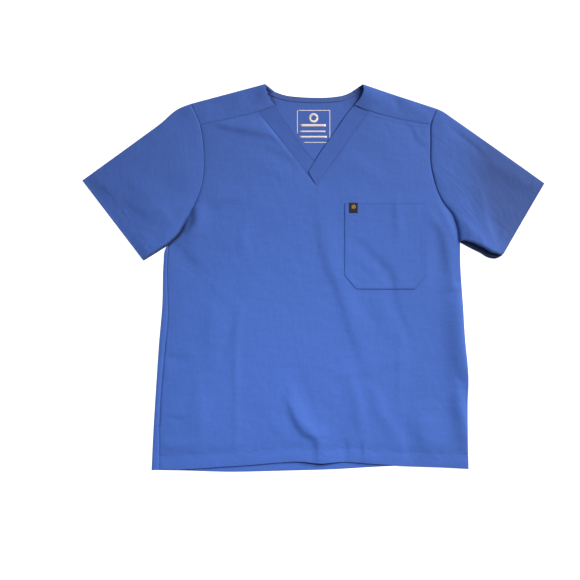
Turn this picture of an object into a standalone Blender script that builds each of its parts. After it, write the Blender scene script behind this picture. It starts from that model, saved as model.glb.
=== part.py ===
"""A V-neck, short-sleeved scrub top laid flat on its back, in metres.

The frame: x to the right across the chest, y towards the collar, z up from the surface it lies on.
Every piece is a cloth wall: a sheet through rows of points, given its thickness by Solidify.
The lower layer (back, sleeve undersides) is flat on the surface; the upper layer lies above it and
carries the large folds. The two layers meet in a rolled edge wherever the cloth folds over.
"""
import math

import bmesh
import bpy
import numpy as np

LEFT, RIGHT = -1, +1
SIDE_NAME = {LEFT: "left", RIGHT: "right"}

# ---- Driving sizes of the cut --------------------------------------------------------------------
SPAN = 0.8755              # cuff to cuff, sleeves as they lie
LENGTH = 0.736             # neck point to the back's hem
NECK_WIDTH = 0.185         # between the neck points
SHOULDER_WIDTH = 0.467     # between the shoulder tips
CHEST_WIDTH = 0.5605       # between the underarms
HEM_WIDTH = 0.601
SIDE_TURN = 0.008          # how far the front turns under at its right side
FACING_WIDTH = 0.010
POCKET_WIDTH = 0.156
POCKET_HEIGHT = 0.163
POCKET_CUT = (0.0225, 0.0260)       # width and height of the cut lower corners
POCKET_LEAN = 0.0020                # how far the pocket's outer side leans in at the top
POCKET_CORNER = (0.0591, 0.1410)    # its upper corner nearer the middle
TAB_SIZE = (0.0162, 0.0190)
TAB_PLACE = (0.0090, 0.0010)        # the tab's corner, in and up from the pocket's corner

# ---- The wall and how the layers lie -------------------------------------------------------------
CLOTH = 0.0012             # thickness of every wall
TRIM_CLOTH = 0.0010        # thickness of the facing and the tab
GAP = 0.0003               # between pieces at a seam
POCKET_LIFT = 0.0005       # between the pocket and the front, whose facets differ a little
ROLL = 0.0015              # radius of a pressed fold, at the middle of the wall
LOW = CLOTH / 2            # height of the lower layer's middle
HIGH = LOW + 2 * ROLL      # height of the upper layer's middle at its seams
LOWEST_UPPER = 0.0022      # the upper layer's middle never lies lower than this
SOFT_UPPER = 0.0027        # and eases towards it from here
PUFF = 0.0022              # how much a panel rises between its seams
PUFF_REACH = 0.022         # and how far in from a seam it takes
TURN_DROP = 0.0030         # how far below the armhole a turned side starts
UNDERARM_CLEARANCE = 0.0010     # between the sleeve's roll and the body's at the underarm
DIP_START, DIP_END = 0.018, 0.005   # where the left band dips, short of the right band's inner edge

# ---- Landmarks: the symmetric cut, then how each side has shifted as it lies ---------------------
TOP = LENGTH / 2
LANDMARKS = {
    # name: x from the middle, drop from the top, left (dx, dy), right (dx, dy)
    "neck_point":     (NECK_WIDTH / 2,     0.0006, (+0.0009, +0.0000), (+0.0012, -0.0009)),
    "shoulder_tip":   (SHOULDER_WIDTH / 2, 0.0430, (+0.0009, +0.0047), (+0.0008, -0.0045)),
    "yoke_armhole":   (0.2190,             0.0776, (+0.0039, -0.0003), (+0.0035, +0.0001)),
    "yoke_band":      (0.1055,             0.0527, (+0.0006, -0.0005), (+0.0005, +0.0007)),
    "yoke_neck":      (0.0760,             0.0414, (+0.0028, +0.0002), (+0.0022, +0.0006)),
    "cuff_top":       (SPAN / 2,           0.1860, (+0.0000, +0.0027), (+0.0000, -0.0026)),
    "cuff_low":       (0.3400,             0.3310, (+0.0166, -0.0015), (+0.0178, +0.0023)),
    "underarm":       (CHEST_WIDTH / 2,    0.3045, (+0.0043, -0.0023), (-0.0033, +0.0043)),
    "hem_corner":     (HEM_WIDTH / 2,      0.7315, (-0.0062, -0.0010), (-0.0058, +0.0012)),
    "back_yoke_arm":  (0.2270,             0.0645, (+0.0030, +0.0013), (+0.0030, -0.0015)),
    "back_yoke_neck": (0.0755,             0.0140, (+0.0005, +0.0000), (+0.0005, +0.0005)),
    "facing_end":     (0.0822,             0.0110, (+0.0002, +0.0000), (+0.0003, +0.0000)),
}
V_POINT = (0.0065, TOP - 0.1947)
BAND_END = {LEFT: (0.0224, TOP - 0.1710), RIGHT: (-0.0089, TOP - 0.1672)}   # inner corner, low end
V_SEAM_BOW = (0.0016, 0.0012)       # how far a V seam's middle bows out and down
BACK_NECK_LOW = (-0.0010, TOP - 0.0260)

# ---- Seams and edges between landmarks: points x, y, from the top down or from left to right -----
ARMHOLE = {
    LEFT: ((-0.2099, 0.2600), (-0.2076, 0.2140), (-0.2110, 0.1790), (-0.2190, 0.1535),
           (-0.2380, 0.1134), (-0.2560, 0.0800)),
    RIGHT: ((0.2220, 0.2600), (0.2226, 0.2150), (0.2333, 0.1720), (0.2470, 0.1420),
            (0.2640, 0.1200), (0.2730, 0.0950)),
}
BACK_ARMHOLE = {
    LEFT: ((-0.2180, 0.2500), (-0.2200, 0.2000), (-0.2290, 0.1500), (-0.2490, 0.1000)),
    RIGHT: ((0.2260, 0.2500), (0.2290, 0.2000), (0.2400, 0.1500), (0.2580, 0.1000)),
}
YOKE_SEAM = {LEFT: ((-0.1831, 0.2964), (-0.1353, 0.3070)),
             RIGHT: ((0.1897, 0.2955), (0.1232, 0.3110))}
YOKE_NECK_EDGE = {LEFT: ((-0.0890, 0.3528), (-0.0815, 0.3357)), RIGHT: ((0.0880, 0.3500),)}
BACK_NECK = {LEFT: ((-0.0555, 0.3471), (-0.0275, 0.3433)),
             RIGHT: ((0.0597, 0.3471), (0.0391, 0.3433))}
BAND_INNER = {LEFT: ((-0.0460, 0.2863), (-0.0175, 0.2445), (0.0025, 0.2217)),
              RIGHT: ((0.0631, 0.3091), (0.0458, 0.2833), (0.0110, 0.2331))}
SLEEVE_TOP = {LEFT: ((-0.2557, 0.3205), (-0.2901, 0.2920), (-0.3211, 0.2692)),
              RIGHT: ((0.2464, 0.3148), (0.2629, 0.3034), (0.2954, 0.2806))}
LEFT_SEAM = ((-0.2768, 0.0298), (-0.2768, -0.0937), (-0.2801, -0.1222), (-0.2848, -0.1697),
             (-0.2896, -0.2286), (-0.2917, -0.2799), (-0.2917, -0.3633))
LEFT_EDGE = ((-0.2822, 0.0500), (-0.2839, 0.0300), (-0.2865, -0.0540), (-0.2923, -0.1220),
             (-0.2985, -0.2134), (-0.3032, -0.2900))
RIGHT_EDGE = ((0.2789, 0.0300), (0.2840, -0.0540), (0.2882, -0.1220), (0.2928, -0.1680),
              (0.2944, -0.1950), (0.2932, -0.2330), (0.2930, -0.2900))
FRONT_HEM = ((-0.2493, -0.3638), (-0.2139, -0.3616), (-0.1680, -0.3585), (-0.1220, -0.3555),
             (-0.0526, -0.3502), (-0.0274, -0.3502), (0.0141, -0.3544), (0.0542, -0.3511),
             (0.1159, -0.3532), (0.1655, -0.3570), (0.2396, -0.3595))
BACK_HEM = ((-0.2531, -0.3654), (-0.1581, -0.3680), (-0.0631, -0.3661), (0.0509, -0.3625),
            (0.1079, -0.3591), (0.1649, -0.3566), (0.2219, -0.3583))

# ---- Sleeves: how the upper layer rolls down at its lower edge -----------------------------------
LOWER_ROLL = {
    # place along the sleeve 0..1, reach of the roll in plan, extra height
    LEFT: ((0.00, ROLL, 0.0000), (0.25, 0.0040, 0.0030), (0.70, 0.0040, 0.0030),
           (1.00, 0.0030, 0.0010)),
    RIGHT: ((0.00, ROLL, 0.0000), (0.16, 0.0120, 0.0090), (0.50, 0.0125, 0.0095),
            (0.80, 0.0090, 0.0070), (1.00, 0.0060, 0.0040)),
}

# ---- Largest folds of the upper layer ------------------------------------------------------------
FOLDS = (
    # name, height (a trough is negative), half width, route of points x, y
    ("front drag trough", -0.0030, 0.0110,
     ((0.0070, 0.0850), (0.0194, 0.0393), (0.0454, -0.0101), (0.0764, -0.0861), (0.0992, -0.1697))),
    ("front drag ridge", +0.0024, 0.0130,
     ((0.0330, 0.0800), (0.0450, 0.0300), (0.0720, -0.0250), (0.1010, -0.0950), (0.1180, -0.1650))),
    ("hem curl trough", -0.0032, 0.0070,
     ((-0.0500, -0.2134), (-0.0384, -0.2647), (-0.0300, -0.2900), (-0.0190, -0.3008),
      (0.0066, -0.3084))),
    ("hem curl", +0.0052, 0.0150,
     ((-0.0180, -0.2260), (0.0040, -0.2640), (0.0220, -0.3000), (0.0260, -0.3520))),
    ("lower slant trough, inner", -0.0024, 0.0110,
     ((0.0760, -0.2040), (0.0960, -0.2460), (0.1180, -0.2890))),
    ("lower slant ridge", +0.0020, 0.0100,
     ((0.0950, -0.2040), (0.1200, -0.2480), (0.1420, -0.2950))),
    ("lower slant trough, outer", -0.0024, 0.0110,
     ((0.1174, -0.2040), (0.1450, -0.2520), (0.1650, -0.2990))),
    ("chest trough, upper", -0.0022, 0.0090,
     ((-0.1810, 0.2863), (-0.1334, 0.2768), (-0.0688, 0.2635))),
    ("chest trough, lower", -0.0018, 0.0080,
     ((-0.0821, 0.2426), (-0.0498, 0.2331), (-0.0194, 0.2046))),
    ("right side trough, upper", -0.0026, 0.0120,
     ((0.2219, 0.0906), (0.2466, 0.0773), (0.2561, 0.0393), (0.2599, -0.0044))),
    ("right side trough, middle", -0.0026, 0.0120,
     ((0.2409, -0.0424), (0.2542, -0.0861), (0.2599, -0.1374), (0.2656, -0.1754),
      (0.2860, -0.1960))),
    ("right side trough, lower", -0.0022, 0.0100,
     ((0.2656, -0.2324), (0.2599, -0.2647), (0.2789, -0.3084))),
    ("left underarm trough", -0.0026, 0.0090,
     ((-0.2607, 0.0621), (-0.2379, 0.0374), (-0.2094, 0.0184))),
    ("left underarm ridge", +0.0030, 0.0090,
     ((-0.2250, 0.1190), (-0.2300, 0.0940), (-0.2440, 0.0780))),
    ("right armhole trough", -0.0024, 0.0100,
     ((0.2105, 0.2901), (0.2200, 0.2616), (0.2352, 0.2388))),
    ("right sleeve underarm ridge", +0.0040, 0.0100,
     ((0.2694, 0.1191), (0.3131, 0.0716), (0.3492, 0.0431))),
    ("right sleeve trough", -0.0028, 0.0110,
     ((0.3017, 0.1476), (0.3226, 0.0811))),
    ("right sleeve ridge", +0.0032, 0.0090,
     ((0.3226, 0.1286), (0.3397, 0.0906), (0.3549, 0.0526))),
    ("right cuff hollow", -0.0024, 0.0240,
     ((0.3473, 0.2141), (0.3929, 0.1951), (0.4119, 0.1761))),
    ("left cuff hollow", -0.0020, 0.0130,
     ((-0.3625, 0.1436), (-0.3321, 0.1096))),
    ("left sleeve trough", -0.0014, 0.0100,
     ((-0.2778, 0.1913), (-0.2597, 0.1495))),
    ("rise at the V point", +0.0014, 0.0240,
     ((-0.0400, 0.1700), (0.0066, 0.1600), (0.0500, 0.1700))),
)
FOLD_SAMPLES = 14

# ---- Mesh density --------------------------------------------------------------------------------
YOKE_END_CELLS = 3         # along the armhole, yoke part
ARMHOLE_CELLS = 11         # along the armhole, panel part
SIDE_CELLS = 20            # down a side
TOP_CELLS = 8              # each of the front's four top stretches
ROLL_CELLS = 4             # round a rolled edge
SLEEVE_CELLS = 12          # armhole to cuff
BAND_CELLS, BAND_ACROSS = 14, 3
POCKET_CELLS, POCKET_ACROSS, CUT_CELLS = 9, 12, 3
TAB_CELLS = 3

SCRUB_BLUE = (0.062, 0.137, 0.479)
CHARCOAL = (0.020, 0.020, 0.024)


def landmark(name, side):
    """A landmark's place on one side, as an array (x, y)."""
    x, drop, left_shift, right_shift = LANDMARKS[name]
    shift = left_shift if side == LEFT else right_shift
    return np.array((side * x + shift[0], TOP - drop + shift[1]))


# ---- Curves in the plane -------------------------------------------------------------------------
def smooth_curve(points, fineness=24):
    """A dense smooth curve through the points (cubic, tangents from the neighbours)."""
    points = np.array([tuple(point) for point in points], dtype=float)
    if len(points) == 2:
        return points[0] + np.linspace(0, 1, fineness)[:, None] * (points[1] - points[0])
    chord = np.linalg.norm(np.diff(points, axis=0), axis=1)
    knots = np.concatenate(([0.0], np.cumsum(chord)))
    tangents = np.gradient(points, knots, axis=0)
    curve = [points[0]]
    for i in range(len(points) - 1):
        length = chord[i]
        for t in np.linspace(0, 1, fineness)[1:]:
            curve.append((2 * t**3 - 3 * t**2 + 1) * points[i]
                         + (t**3 - 2 * t**2 + t) * length * tangents[i]
                         + (3 * t**2 - 2 * t**3) * points[i + 1]
                         + (t**3 - t**2) * length * tangents[i + 1])
    return np.array(curve)


def arc_lengths(curve):
    """Distance along a curve at each of its points."""
    return np.concatenate(([0.0], np.cumsum(np.linalg.norm(np.diff(curve, axis=0), axis=1))))


def spaced(curve, cells, skip_start=0.0, skip_end=0.0):
    """Points evenly spaced along a curve, less a stretch skipped at either end."""
    along = arc_lengths(curve)
    wanted = np.linspace(skip_start, along[-1] - skip_end, cells + 1)
    return np.column_stack([np.interp(wanted, along, curve[:, axis]) for axis in range(curve.shape[1])])


def joined(*stretches):
    """Stretches that share their end points, as one row of points."""
    return np.vstack([stretches[0]] + [stretch[1:] for stretch in stretches[1:]])


def unit(vectors):
    """Vectors of the same directions and a length of 1."""
    return vectors / np.linalg.norm(vectors, axis=-1, keepdims=True)


def patch(top, bottom, left, right):
    """A grid of points filling four edges that meet at their corners (rows run from top to bottom)."""
    u = np.linspace(0, 1, len(top))[None, :, None]
    v = np.linspace(0, 1, len(left))[:, None, None]
    ruled = (1 - v) * top[None] + v * bottom[None] + (1 - u) * left[:, None] + u * right[:, None]
    corners = ((1 - u) * (1 - v) * top[0] + u * (1 - v) * top[-1]
               + (1 - u) * v * bottom[0] + u * v * bottom[-1])
    return ruled - corners


# ---- Heights of the two layers -------------------------------------------------------------------
def distance_to(points, curve):
    """Distance from each point to a curve of points, and the place along it, 0 to 1."""
    start, step = curve[:-1], np.diff(curve, axis=0)
    offset = points[..., None, :] - start
    along = np.clip((offset * step).sum(-1) / np.maximum((step * step).sum(-1), 1e-12), 0, 1)
    gaps = np.linalg.norm(offset - along[..., None] * step, axis=-1)
    nearest = gaps.argmin(-1)
    place = (nearest + np.take_along_axis(along, nearest[..., None], -1)[..., 0]) / len(step)
    return gaps.min(-1), place


FOLD_CURVES = [spaced(smooth_curve(route), FOLD_SAMPLES) for *_, route in FOLDS]


def relief(points):
    """Height that the folds add to the upper layer."""
    height = np.zeros(points.shape[:-1])
    for (_, fold_height, half_width, _), curve in zip(FOLDS, FOLD_CURVES):
        gap, place = distance_to(points, curve)
        fade = np.sqrt(np.sin(np.pi * np.clip(place, 0.04, 0.96)))
        height += fold_height * fade * np.exp(-(gap / half_width) ** 2)
    return height


def puffed(points, outline):
    """Height that a panel rises between the seams of its outline."""
    gap, _ = distance_to(points, outline)
    return PUFF * (1 - np.exp(-gap / PUFF_REACH))


def upper(points, outline=None):
    """Upper-layer points (x, y, z) for points of the plane."""
    height = HIGH + relief(points)
    if outline is not None:
        height = height + puffed(points, outline)
    ease = SOFT_UPPER - LOWEST_UPPER
    eased = LOWEST_UPPER + ease * np.exp(np.minimum(height - SOFT_UPPER, 0) / ease)
    height = np.where(height < SOFT_UPPER, eased, height)
    return np.concatenate((points, height[..., None]), axis=-1)


def lower(points):
    """Lower-layer points (x, y, z), flat on the surface."""
    return np.concatenate((points, np.full(points.shape[:-1] + (1,), LOW)), axis=-1)


def rolled_edge(above, below, outer):
    """Points round a fold of the cloth, from its start above to its end below, both left out.

    `outer` is the outermost point (x, y) of the fold; it stands one roll radius above `below`.
    """
    outer = np.array((*outer, below[2] + ROLL))
    ring = []
    for angle in np.linspace(math.pi / 2, -math.pi / 2, ROLL_CELLS + 1)[1:-1]:
        end = above if angle > 0 else below
        plan = end[:2] + (outer[:2] - end[:2]) * math.cos(angle)
        ring.append((*plan, outer[2] + (end[2] - outer[2]) * abs(math.sin(angle))))
    return np.array(ring)


# ---- Making an object from rows of points --------------------------------------------------------
for leftover in list(bpy.data.objects):
    bpy.data.objects.remove(leftover, do_unlink=True)
COLLECTION = bpy.data.collections.new("scrub_top")
bpy.context.scene.collection.children.link(COLLECTION)


def material(name, colour, roughness=0.8, metallic=0.0):
    """A plain material; the same name is made once."""
    found = bpy.data.materials.get(name)
    if found:
        return found
    made = bpy.data.materials.new(name)
    made.use_nodes = True
    shader = made.node_tree.nodes["Principled BSDF"]
    shader.inputs["Base Color"].default_value = (*colour, 1.0)
    shader.inputs["Roughness"].default_value = roughness
    shader.inputs["Metallic"].default_value = metallic
    return made


def cloth(name, rows, thickness=CLOTH, closed=False, missing=None, colour=("cloth", SCRUB_BLUE)):
    """A cloth wall through rows of points; `missing(row, column)` leaves a cell out."""
    rows = np.asarray(rows)
    row_count, column_count = rows.shape[:2]
    mesh = bmesh.new()
    vertices = {}

    def vertex(row, column):
        key = (row, column % column_count)
        if key not in vertices:
            vertices[key] = mesh.verts.new(rows[key])
        return vertices[key]

    for row in range(row_count - 1):
        for column in range(column_count if closed else column_count - 1):
            if missing is None or not missing(row, column):
                mesh.faces.new((vertex(row, column), vertex(row + 1, column),
                                vertex(row + 1, column + 1), vertex(row, column + 1)))
    bmesh.ops.recalc_face_normals(mesh, faces=mesh.faces)
    data = bpy.data.meshes.new(name)
    mesh.to_mesh(data)
    mesh.free()
    data.shade_smooth()
    data.materials.append(material(*colour))
    piece = bpy.data.objects.new(name, data)
    COLLECTION.objects.link(piece)
    wall = piece.modifiers.new("wall", "SOLIDIFY")
    wall.thickness = thickness
    wall.offset = 0.0
    return piece


def seam_gap(rows, *sides, amount=GAP / 2):
    """Draws the named sides of a grid back from their seams by half a gap."""
    rows = rows.copy()
    edges = {"top": (rows[0], rows[1]), "bottom": (rows[-1], rows[-2]),
             "left": (rows[:, 0], rows[:, 1]), "right": (rows[:, -1], rows[:, -2])}
    for side in sides:
        edge, inner = edges[side]
        along = np.gradient(edge, axis=0)
        inward = inner - edge
        inward = inward - unit(along) * (inward * unit(along)).sum(-1, keepdims=True)
        edge += unit(inward) * amount
    return rows


# ---- Seam lines that pieces share ----------------------------------------------------------------
def armhole(side, curves, junction_name):
    """An armhole seam in two stretches, its yoke part and its panel part, as dense curves."""
    tip, junction = landmark("shoulder_tip", side), landmark(junction_name, side)
    whole = smooth_curve([tip, junction, *curves[side], landmark("underarm", side)])
    split = np.linalg.norm(whole - junction, axis=1).argmin()
    return whole[:split + 1], whole[split:]


def front_armhole(side):
    """Armhole points on the upper layer: the yoke's, from its fold down, and the front's."""
    yoke_part, front_part = armhole(side, ARMHOLE, "yoke_armhole")
    return (spaced(yoke_part, YOKE_END_CELLS, skip_start=ROLL),
            spaced(front_part, ARMHOLE_CELLS, skip_end=ROLL))


def back_armhole(side):
    """Armhole points on the lower layer: the yoke's, from its fold down, and the back's."""
    yoke_part, back_part = armhole(side, BACK_ARMHOLE, "back_yoke_arm")
    return (spaced(yoke_part, YOKE_END_CELLS, skip_start=ROLL),
            spaced(back_part, ARMHOLE_CELLS, skip_end=ROLL))


def yoke_seam(side):
    """The yoke's seam on the front, armhole to neck band, then the part over the band's end."""
    to_band = smooth_curve([landmark("yoke_armhole", side), *YOKE_SEAM[side],
                            landmark("yoke_band", side)])
    over_band = smooth_curve([landmark("yoke_band", side), landmark("yoke_neck", side)])
    return spaced(to_band, TOP_CELLS), spaced(over_band, BAND_ACROSS)


def v_seam(side):
    """The seam between the front and a neck band, from the yoke to the point of the V."""
    start = landmark("yoke_band", side)
    bow_out, bow_down = V_SEAM_BOW
    middle = (start + V_POINT) / 2 - np.array((side * bow_out, bow_down))
    return spaced(smooth_curve([start, middle, V_POINT]), TOP_CELLS)


def back_neck(*ends):
    """The back's neck edge, from left to right, between the yokes or on to the given ends."""
    left, right = landmark("back_yoke_neck", LEFT), landmark("back_yoke_neck", RIGHT)
    return smooth_curve([*ends[:1], left, *BACK_NECK[LEFT], BACK_NECK_LOW,
                         *BACK_NECK[RIGHT][::-1], right, *ends[1:]])


def fold_line(side, rows, start):
    """The body's folded edge from the underarm to the hem corner, at the start of its roll."""
    first = landmark("underarm", side) + np.array((side * ROLL, 0))
    outer = smooth_curve([first, *rows, landmark("hem_corner", side)]) - np.array((side * ROLL, 0))
    return spaced(np.vstack((start, outer[1:])), SIDE_CELLS)


# ---- The body ------------------------------------------------------------------------------------
def turned(rows, side, start, other_layer, seam):
    """Adds to a panel's rows, from row `start` down, its fold over the side and its turned part."""
    outward = np.array((side * ROLL, 0.0))
    widened = []
    for index, row in enumerate(rows):
        end = row[-1] if side == RIGHT else row[0]
        if index < start:
            strip = np.repeat(end[None], ROLL_CELLS + 1, axis=0)
        else:
            place, seam_point = end[:2], seam[index - start]
            if index == start:
                place = place - (0, TURN_DROP)
                seam_point = seam_point + unit(seam[1] - seam[0]) * TURN_DROP
            far = other_layer(place[None])[0]
            above, below = (end, far) if side == RIGHT else (far, end)
            roll = rolled_edge(above, below, place + outward)
            roll = roll if side == RIGHT else roll[::-1]
            strip = np.vstack((roll, far, other_layer(seam_point[None])[0]))
        widened.append(np.vstack((row, strip) if side == RIGHT else (strip[::-1], row)))
    return np.array(widened)


def front_plan():
    """The front's plan: yoke seam, V, yoke seam; armholes and sides; hem."""
    top = joined(yoke_seam(LEFT)[0], v_seam(LEFT), v_seam(RIGHT)[::-1], yoke_seam(RIGHT)[0][::-1])
    armholes = {side: front_armhole(side)[1] for side in (LEFT, RIGHT)}
    seam = spaced(smooth_curve([armholes[LEFT][-1], *LEFT_SEAM]), SIDE_CELLS)
    left = joined(armholes[LEFT], seam)
    right = joined(armholes[RIGHT], fold_line(RIGHT, RIGHT_EDGE, armholes[RIGHT][-1]))
    hem = spaced(smooth_curve([left[-1], *FRONT_HEM, right[-1]]), 4 * TOP_CELLS)
    return patch(top, hem, left, right)


FRONT_PLAN = front_plan()


def rim_of(plan):
    """The points all round a grid."""
    return np.vstack((plan[0], plan[1:, -1], plan[-1, -2::-1], plan[-2::-1, 0]))


def front_surface(plan):
    """The front's middle surface over points of the plane."""
    return upper(plan, rim_of(FRONT_PLAN))


def make_front():
    """The front; its right side folds over the edge and turns under to the side seam."""
    main = seam_gap(front_surface(FRONT_PLAN), "top", "left", "right")
    fold = main[ARMHOLE_CELLS:, -1, :2]
    rows = turned(main, RIGHT, ARMHOLE_CELLS, lower, fold - np.array((SIDE_TURN - GAP / 2, 0)))
    first_turned = main.shape[1] - 1
    cloth("front", rows, missing=lambda row, column: row < ARMHOLE_CELLS and column >= first_turned)


def make_back():
    """The back, flat on the surface; its left side turns up over the edge to the side seam."""
    armholes = {side: back_armhole(side)[1] for side in (LEFT, RIGHT)}
    neck = spaced(back_neck(), 2 * TOP_CELLS)
    seams = {side: spaced(smooth_curve([landmark("back_yoke_arm", side),
                                        landmark("back_yoke_neck", side)]), TOP_CELLS)
             for side in (LEFT, RIGHT)}
    top = joined(seams[LEFT], neck, seams[RIGHT][::-1])
    left = joined(armholes[LEFT], fold_line(LEFT, LEFT_EDGE, armholes[LEFT][-1]))
    fold = FRONT_PLAN[ARMHOLE_CELLS:, -1]
    under_seam = fold - np.array((SIDE_TURN + GAP / 2, 0))
    armhole_right = spaced(np.vstack((armholes[RIGHT][:-1], under_seam[0])), ARMHOLE_CELLS)
    right = joined(armhole_right, under_seam)
    hem = spaced(smooth_curve([left[-1], *BACK_HEM, right[-1]]), len(top) - 1)
    main = seam_gap(lower(patch(top, hem, left, right)), "top", "left", "right")
    side_seam = FRONT_PLAN[ARMHOLE_CELLS:, 0] - np.array((GAP / 2, 0))
    rows = turned(main, LEFT, ARMHOLE_CELLS, upper, side_seam)
    last_turned = ROLL_CELLS + 1
    cloth("back", rows, missing=lambda row, column: row < ARMHOLE_CELLS and column < last_turned)


# ---- Yokes ---------------------------------------------------------------------------------------
def make_yoke(side):
    """A shoulder yoke: front leg from its seam up to the shoulder, fold, and back leg."""
    neck_point, neck_low = landmark("neck_point", side), landmark("yoke_neck", side)
    front_end, back_end = front_armhole(side)[0], back_armhole(side)[0]
    neck_edge = spaced(smooth_curve([neck_point, *YOKE_NECK_EDGE[side], neck_low]),
                       YOKE_END_CELLS, skip_start=ROLL)
    back_neck_edge = spaced(smooth_curve([neck_point, landmark("back_yoke_neck", side)]),
                            YOKE_END_CELLS, skip_start=ROLL)
    seam = joined(*yoke_seam(side))
    cells = len(seam) - 1
    shoulder = spaced(smooth_curve([landmark("shoulder_tip", side), neck_point]), cells)
    front_fold = spaced(smooth_curve([front_end[0], neck_edge[0]]), cells)
    back_fold = spaced(smooth_curve([back_end[0], back_neck_edge[0]]), cells)
    back_seam = spaced(smooth_curve([back_end[-1], back_neck_edge[-1]]), cells)
    leg_plan = patch(front_fold, seam, front_end, neck_edge)
    front_leg = seam_gap(upper(leg_plan, rim_of(leg_plan)), "bottom", "left")
    back_leg = seam_gap(lower(patch(back_fold, back_seam, back_end, back_neck_edge)), "bottom", "left")
    folds = [rolled_edge(front_leg[0, i], back_leg[0, i], shoulder[i]) for i in range(cells + 1)]
    rows = np.concatenate((front_leg[::-1], np.array(folds).transpose(1, 0, 2), back_leg))
    cloth(f"yoke_{SIDE_NAME[side]}", rows)


# ---- Sleeves -------------------------------------------------------------------------------------
def make_sleeve(side):
    """A sleeve: an open tube pressed flat, its lower edge rolling down from a raised fold."""
    cuff = smooth_curve([landmark("cuff_top", side), landmark("cuff_low", side)])
    underarm, cuff_low = landmark("underarm", side), landmark("cuff_low", side)
    table = np.array(LOWER_ROLL[side])
    along = np.linspace(0, 1, SLEEVE_CELLS + 1)
    reach = np.interp(along, table[:, 0], table[:, 1])
    extra = np.interp(along, table[:, 0], table[:, 2])
    inward_low = unit(landmark("cuff_top", side) - cuff_low)
    inward_high = -inward_low
    lower_outer = spaced(smooth_curve([underarm, cuff_low]), SLEEVE_CELLS)
    upper_outer = spaced(smooth_curve([landmark("shoulder_tip", side), *SLEEVE_TOP[side],
                                       landmark("cuff_top", side)]), SLEEVE_CELLS)

    def layer(armhole_points, lower_reach):
        cells = len(armhole_points) - 1
        cuff_points = spaced(cuff, cells, skip_start=ROLL, skip_end=lower_reach[-1])
        upper_edge = upper_outer + inward_high * ROLL
        lower_edge = lower_outer + inward_low * lower_reach[:, None]
        upper_edge[0], upper_edge[-1] = armhole_points[0], cuff_points[0]
        lower_edge[0], lower_edge[-1] = armhole_points[-1], cuff_points[-1]
        return patch(armhole_points, cuff_points, upper_edge, lower_edge)

    top_plan = layer(joined(*front_armhole(side)), reach)
    under_plan = layer(joined(*back_armhole(side)), np.full(SLEEVE_CELLS + 1, ROLL))
    outline = np.vstack((top_plan[0], top_plan[1:, -1], top_plan[::-1, 0]))
    top = upper(top_plan, outline)
    across = np.linspace(0, 1, top.shape[1])
    top[..., 2] += extra[:, None] * across[None] ** 3
    top, under = seam_gap(top, "top"), seam_gap(lower(under_plan), "top")
    armhole_end = top_plan[0, -1] - top_plan[0, -2]
    lower_outer[0] = top_plan[0, -1] + unit(armhole_end) * ROLL
    rings = []
    for i in range(SLEEVE_CELLS + 1):
        low_roll = rolled_edge(top[i, -1], under[i, -1], lower_outer[i])
        high_roll = rolled_edge(top[i, 0], under[i, 0], upper_outer[i])[::-1]
        rings.append(np.vstack((top[i], low_roll, under[i, ::-1], high_roll)))
    pull = np.full((len(rings[0]), 1), GAP / 2)
    cells = top.shape[1]
    pull[cells - 1:cells + ROLL_CELLS] = UNDERARM_CLEARANCE
    rings[0][:, :2] += unit(rings[1][:, :2] - rings[0][:, :2]) * pull
    cloth(f"sleeve_{SIDE_NAME[side]}", rings, closed=True)


# ---- Neck ----------------------------------------------------------------------------------------
def make_band(side):
    """A neck band, yoke to V; the left one dips under the right one where they cross."""
    inner = spaced(smooth_curve([landmark("yoke_neck", side), *BAND_INNER[side], BAND_END[side]]),
                   BAND_CELLS)
    outer = spaced(v_seam(side), BAND_CELLS)
    end = spaced(smooth_curve([V_POINT, BAND_END[side]]), BAND_ACROSS)
    points = upper(patch(yoke_seam(side)[1], end, outer, inner))
    if side == LEFT:
        crossing = landmark("yoke_neck", RIGHT)
        direction = unit(BAND_END[RIGHT] - crossing)
        past = (points[..., :2] - crossing) @ np.array((-direction[1], direction[0]))
        under = np.clip((past + DIP_START) / (DIP_START - DIP_END), 0, 1)
        points[..., 2] -= (CLOTH + GAP) * under * under * (3 - 2 * under)
    cloth(f"neck_band_{SIDE_NAME[side]}", seam_gap(points, "top", "left"))


def make_facing():
    """The narrow strip inside the back neck, lying on the back."""
    neck = back_neck(landmark("facing_end", LEFT), landmark("facing_end", RIGHT))
    edge = spaced(neck, 2 * BAND_CELLS)
    inward = unit(np.gradient(edge, axis=0)) @ np.array(((0, -1), (1, 0)))
    rows = np.array([lower(edge + inward * width) for width in (CLOTH / 2, FACING_WIDTH)])
    rows[..., 2] = CLOTH + GAP + TRIM_CLOTH / 2
    cloth("back_neck_facing", rows, thickness=TRIM_CLOTH)


# ---- Pocket --------------------------------------------------------------------------------------
def moved_out(plan, distance):
    """The front's surface over a plan, moved out along its normals."""
    step = 0.0005
    base = front_surface(plan)
    slope_x = (front_surface(plan + (step, 0)) - base)[..., 2] / step
    slope_y = (front_surface(plan + (0, step)) - base)[..., 2] / step
    normal = unit(np.stack((-slope_x, -slope_y, np.ones_like(slope_x)), axis=-1))
    return base + normal * distance


def make_pocket():
    """The patch pocket, its lower corners cut off."""
    left, top = POCKET_CORNER
    cut_width, cut_height = POCKET_CUT
    straight = POCKET_HEIGHT - cut_height
    drops = joined(np.linspace(0, straight, POCKET_CELLS + 1)[:, None],
                   np.linspace(straight, POCKET_HEIGHT, CUT_CELLS + 1)[:, None])[:, 0]
    plan = []
    for drop in drops:
        cut = max(0.0, drop - straight) / cut_height * cut_width
        lean = POCKET_LEAN * (1 - drop / POCKET_HEIGHT)
        across = np.linspace(left + cut, left + POCKET_WIDTH - lean - cut, POCKET_ACROSS + 1)
        plan.append([(x, top - drop) for x in across])
    cloth("chest_pocket", moved_out(np.array(plan), CLOTH + POCKET_LIFT))


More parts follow.
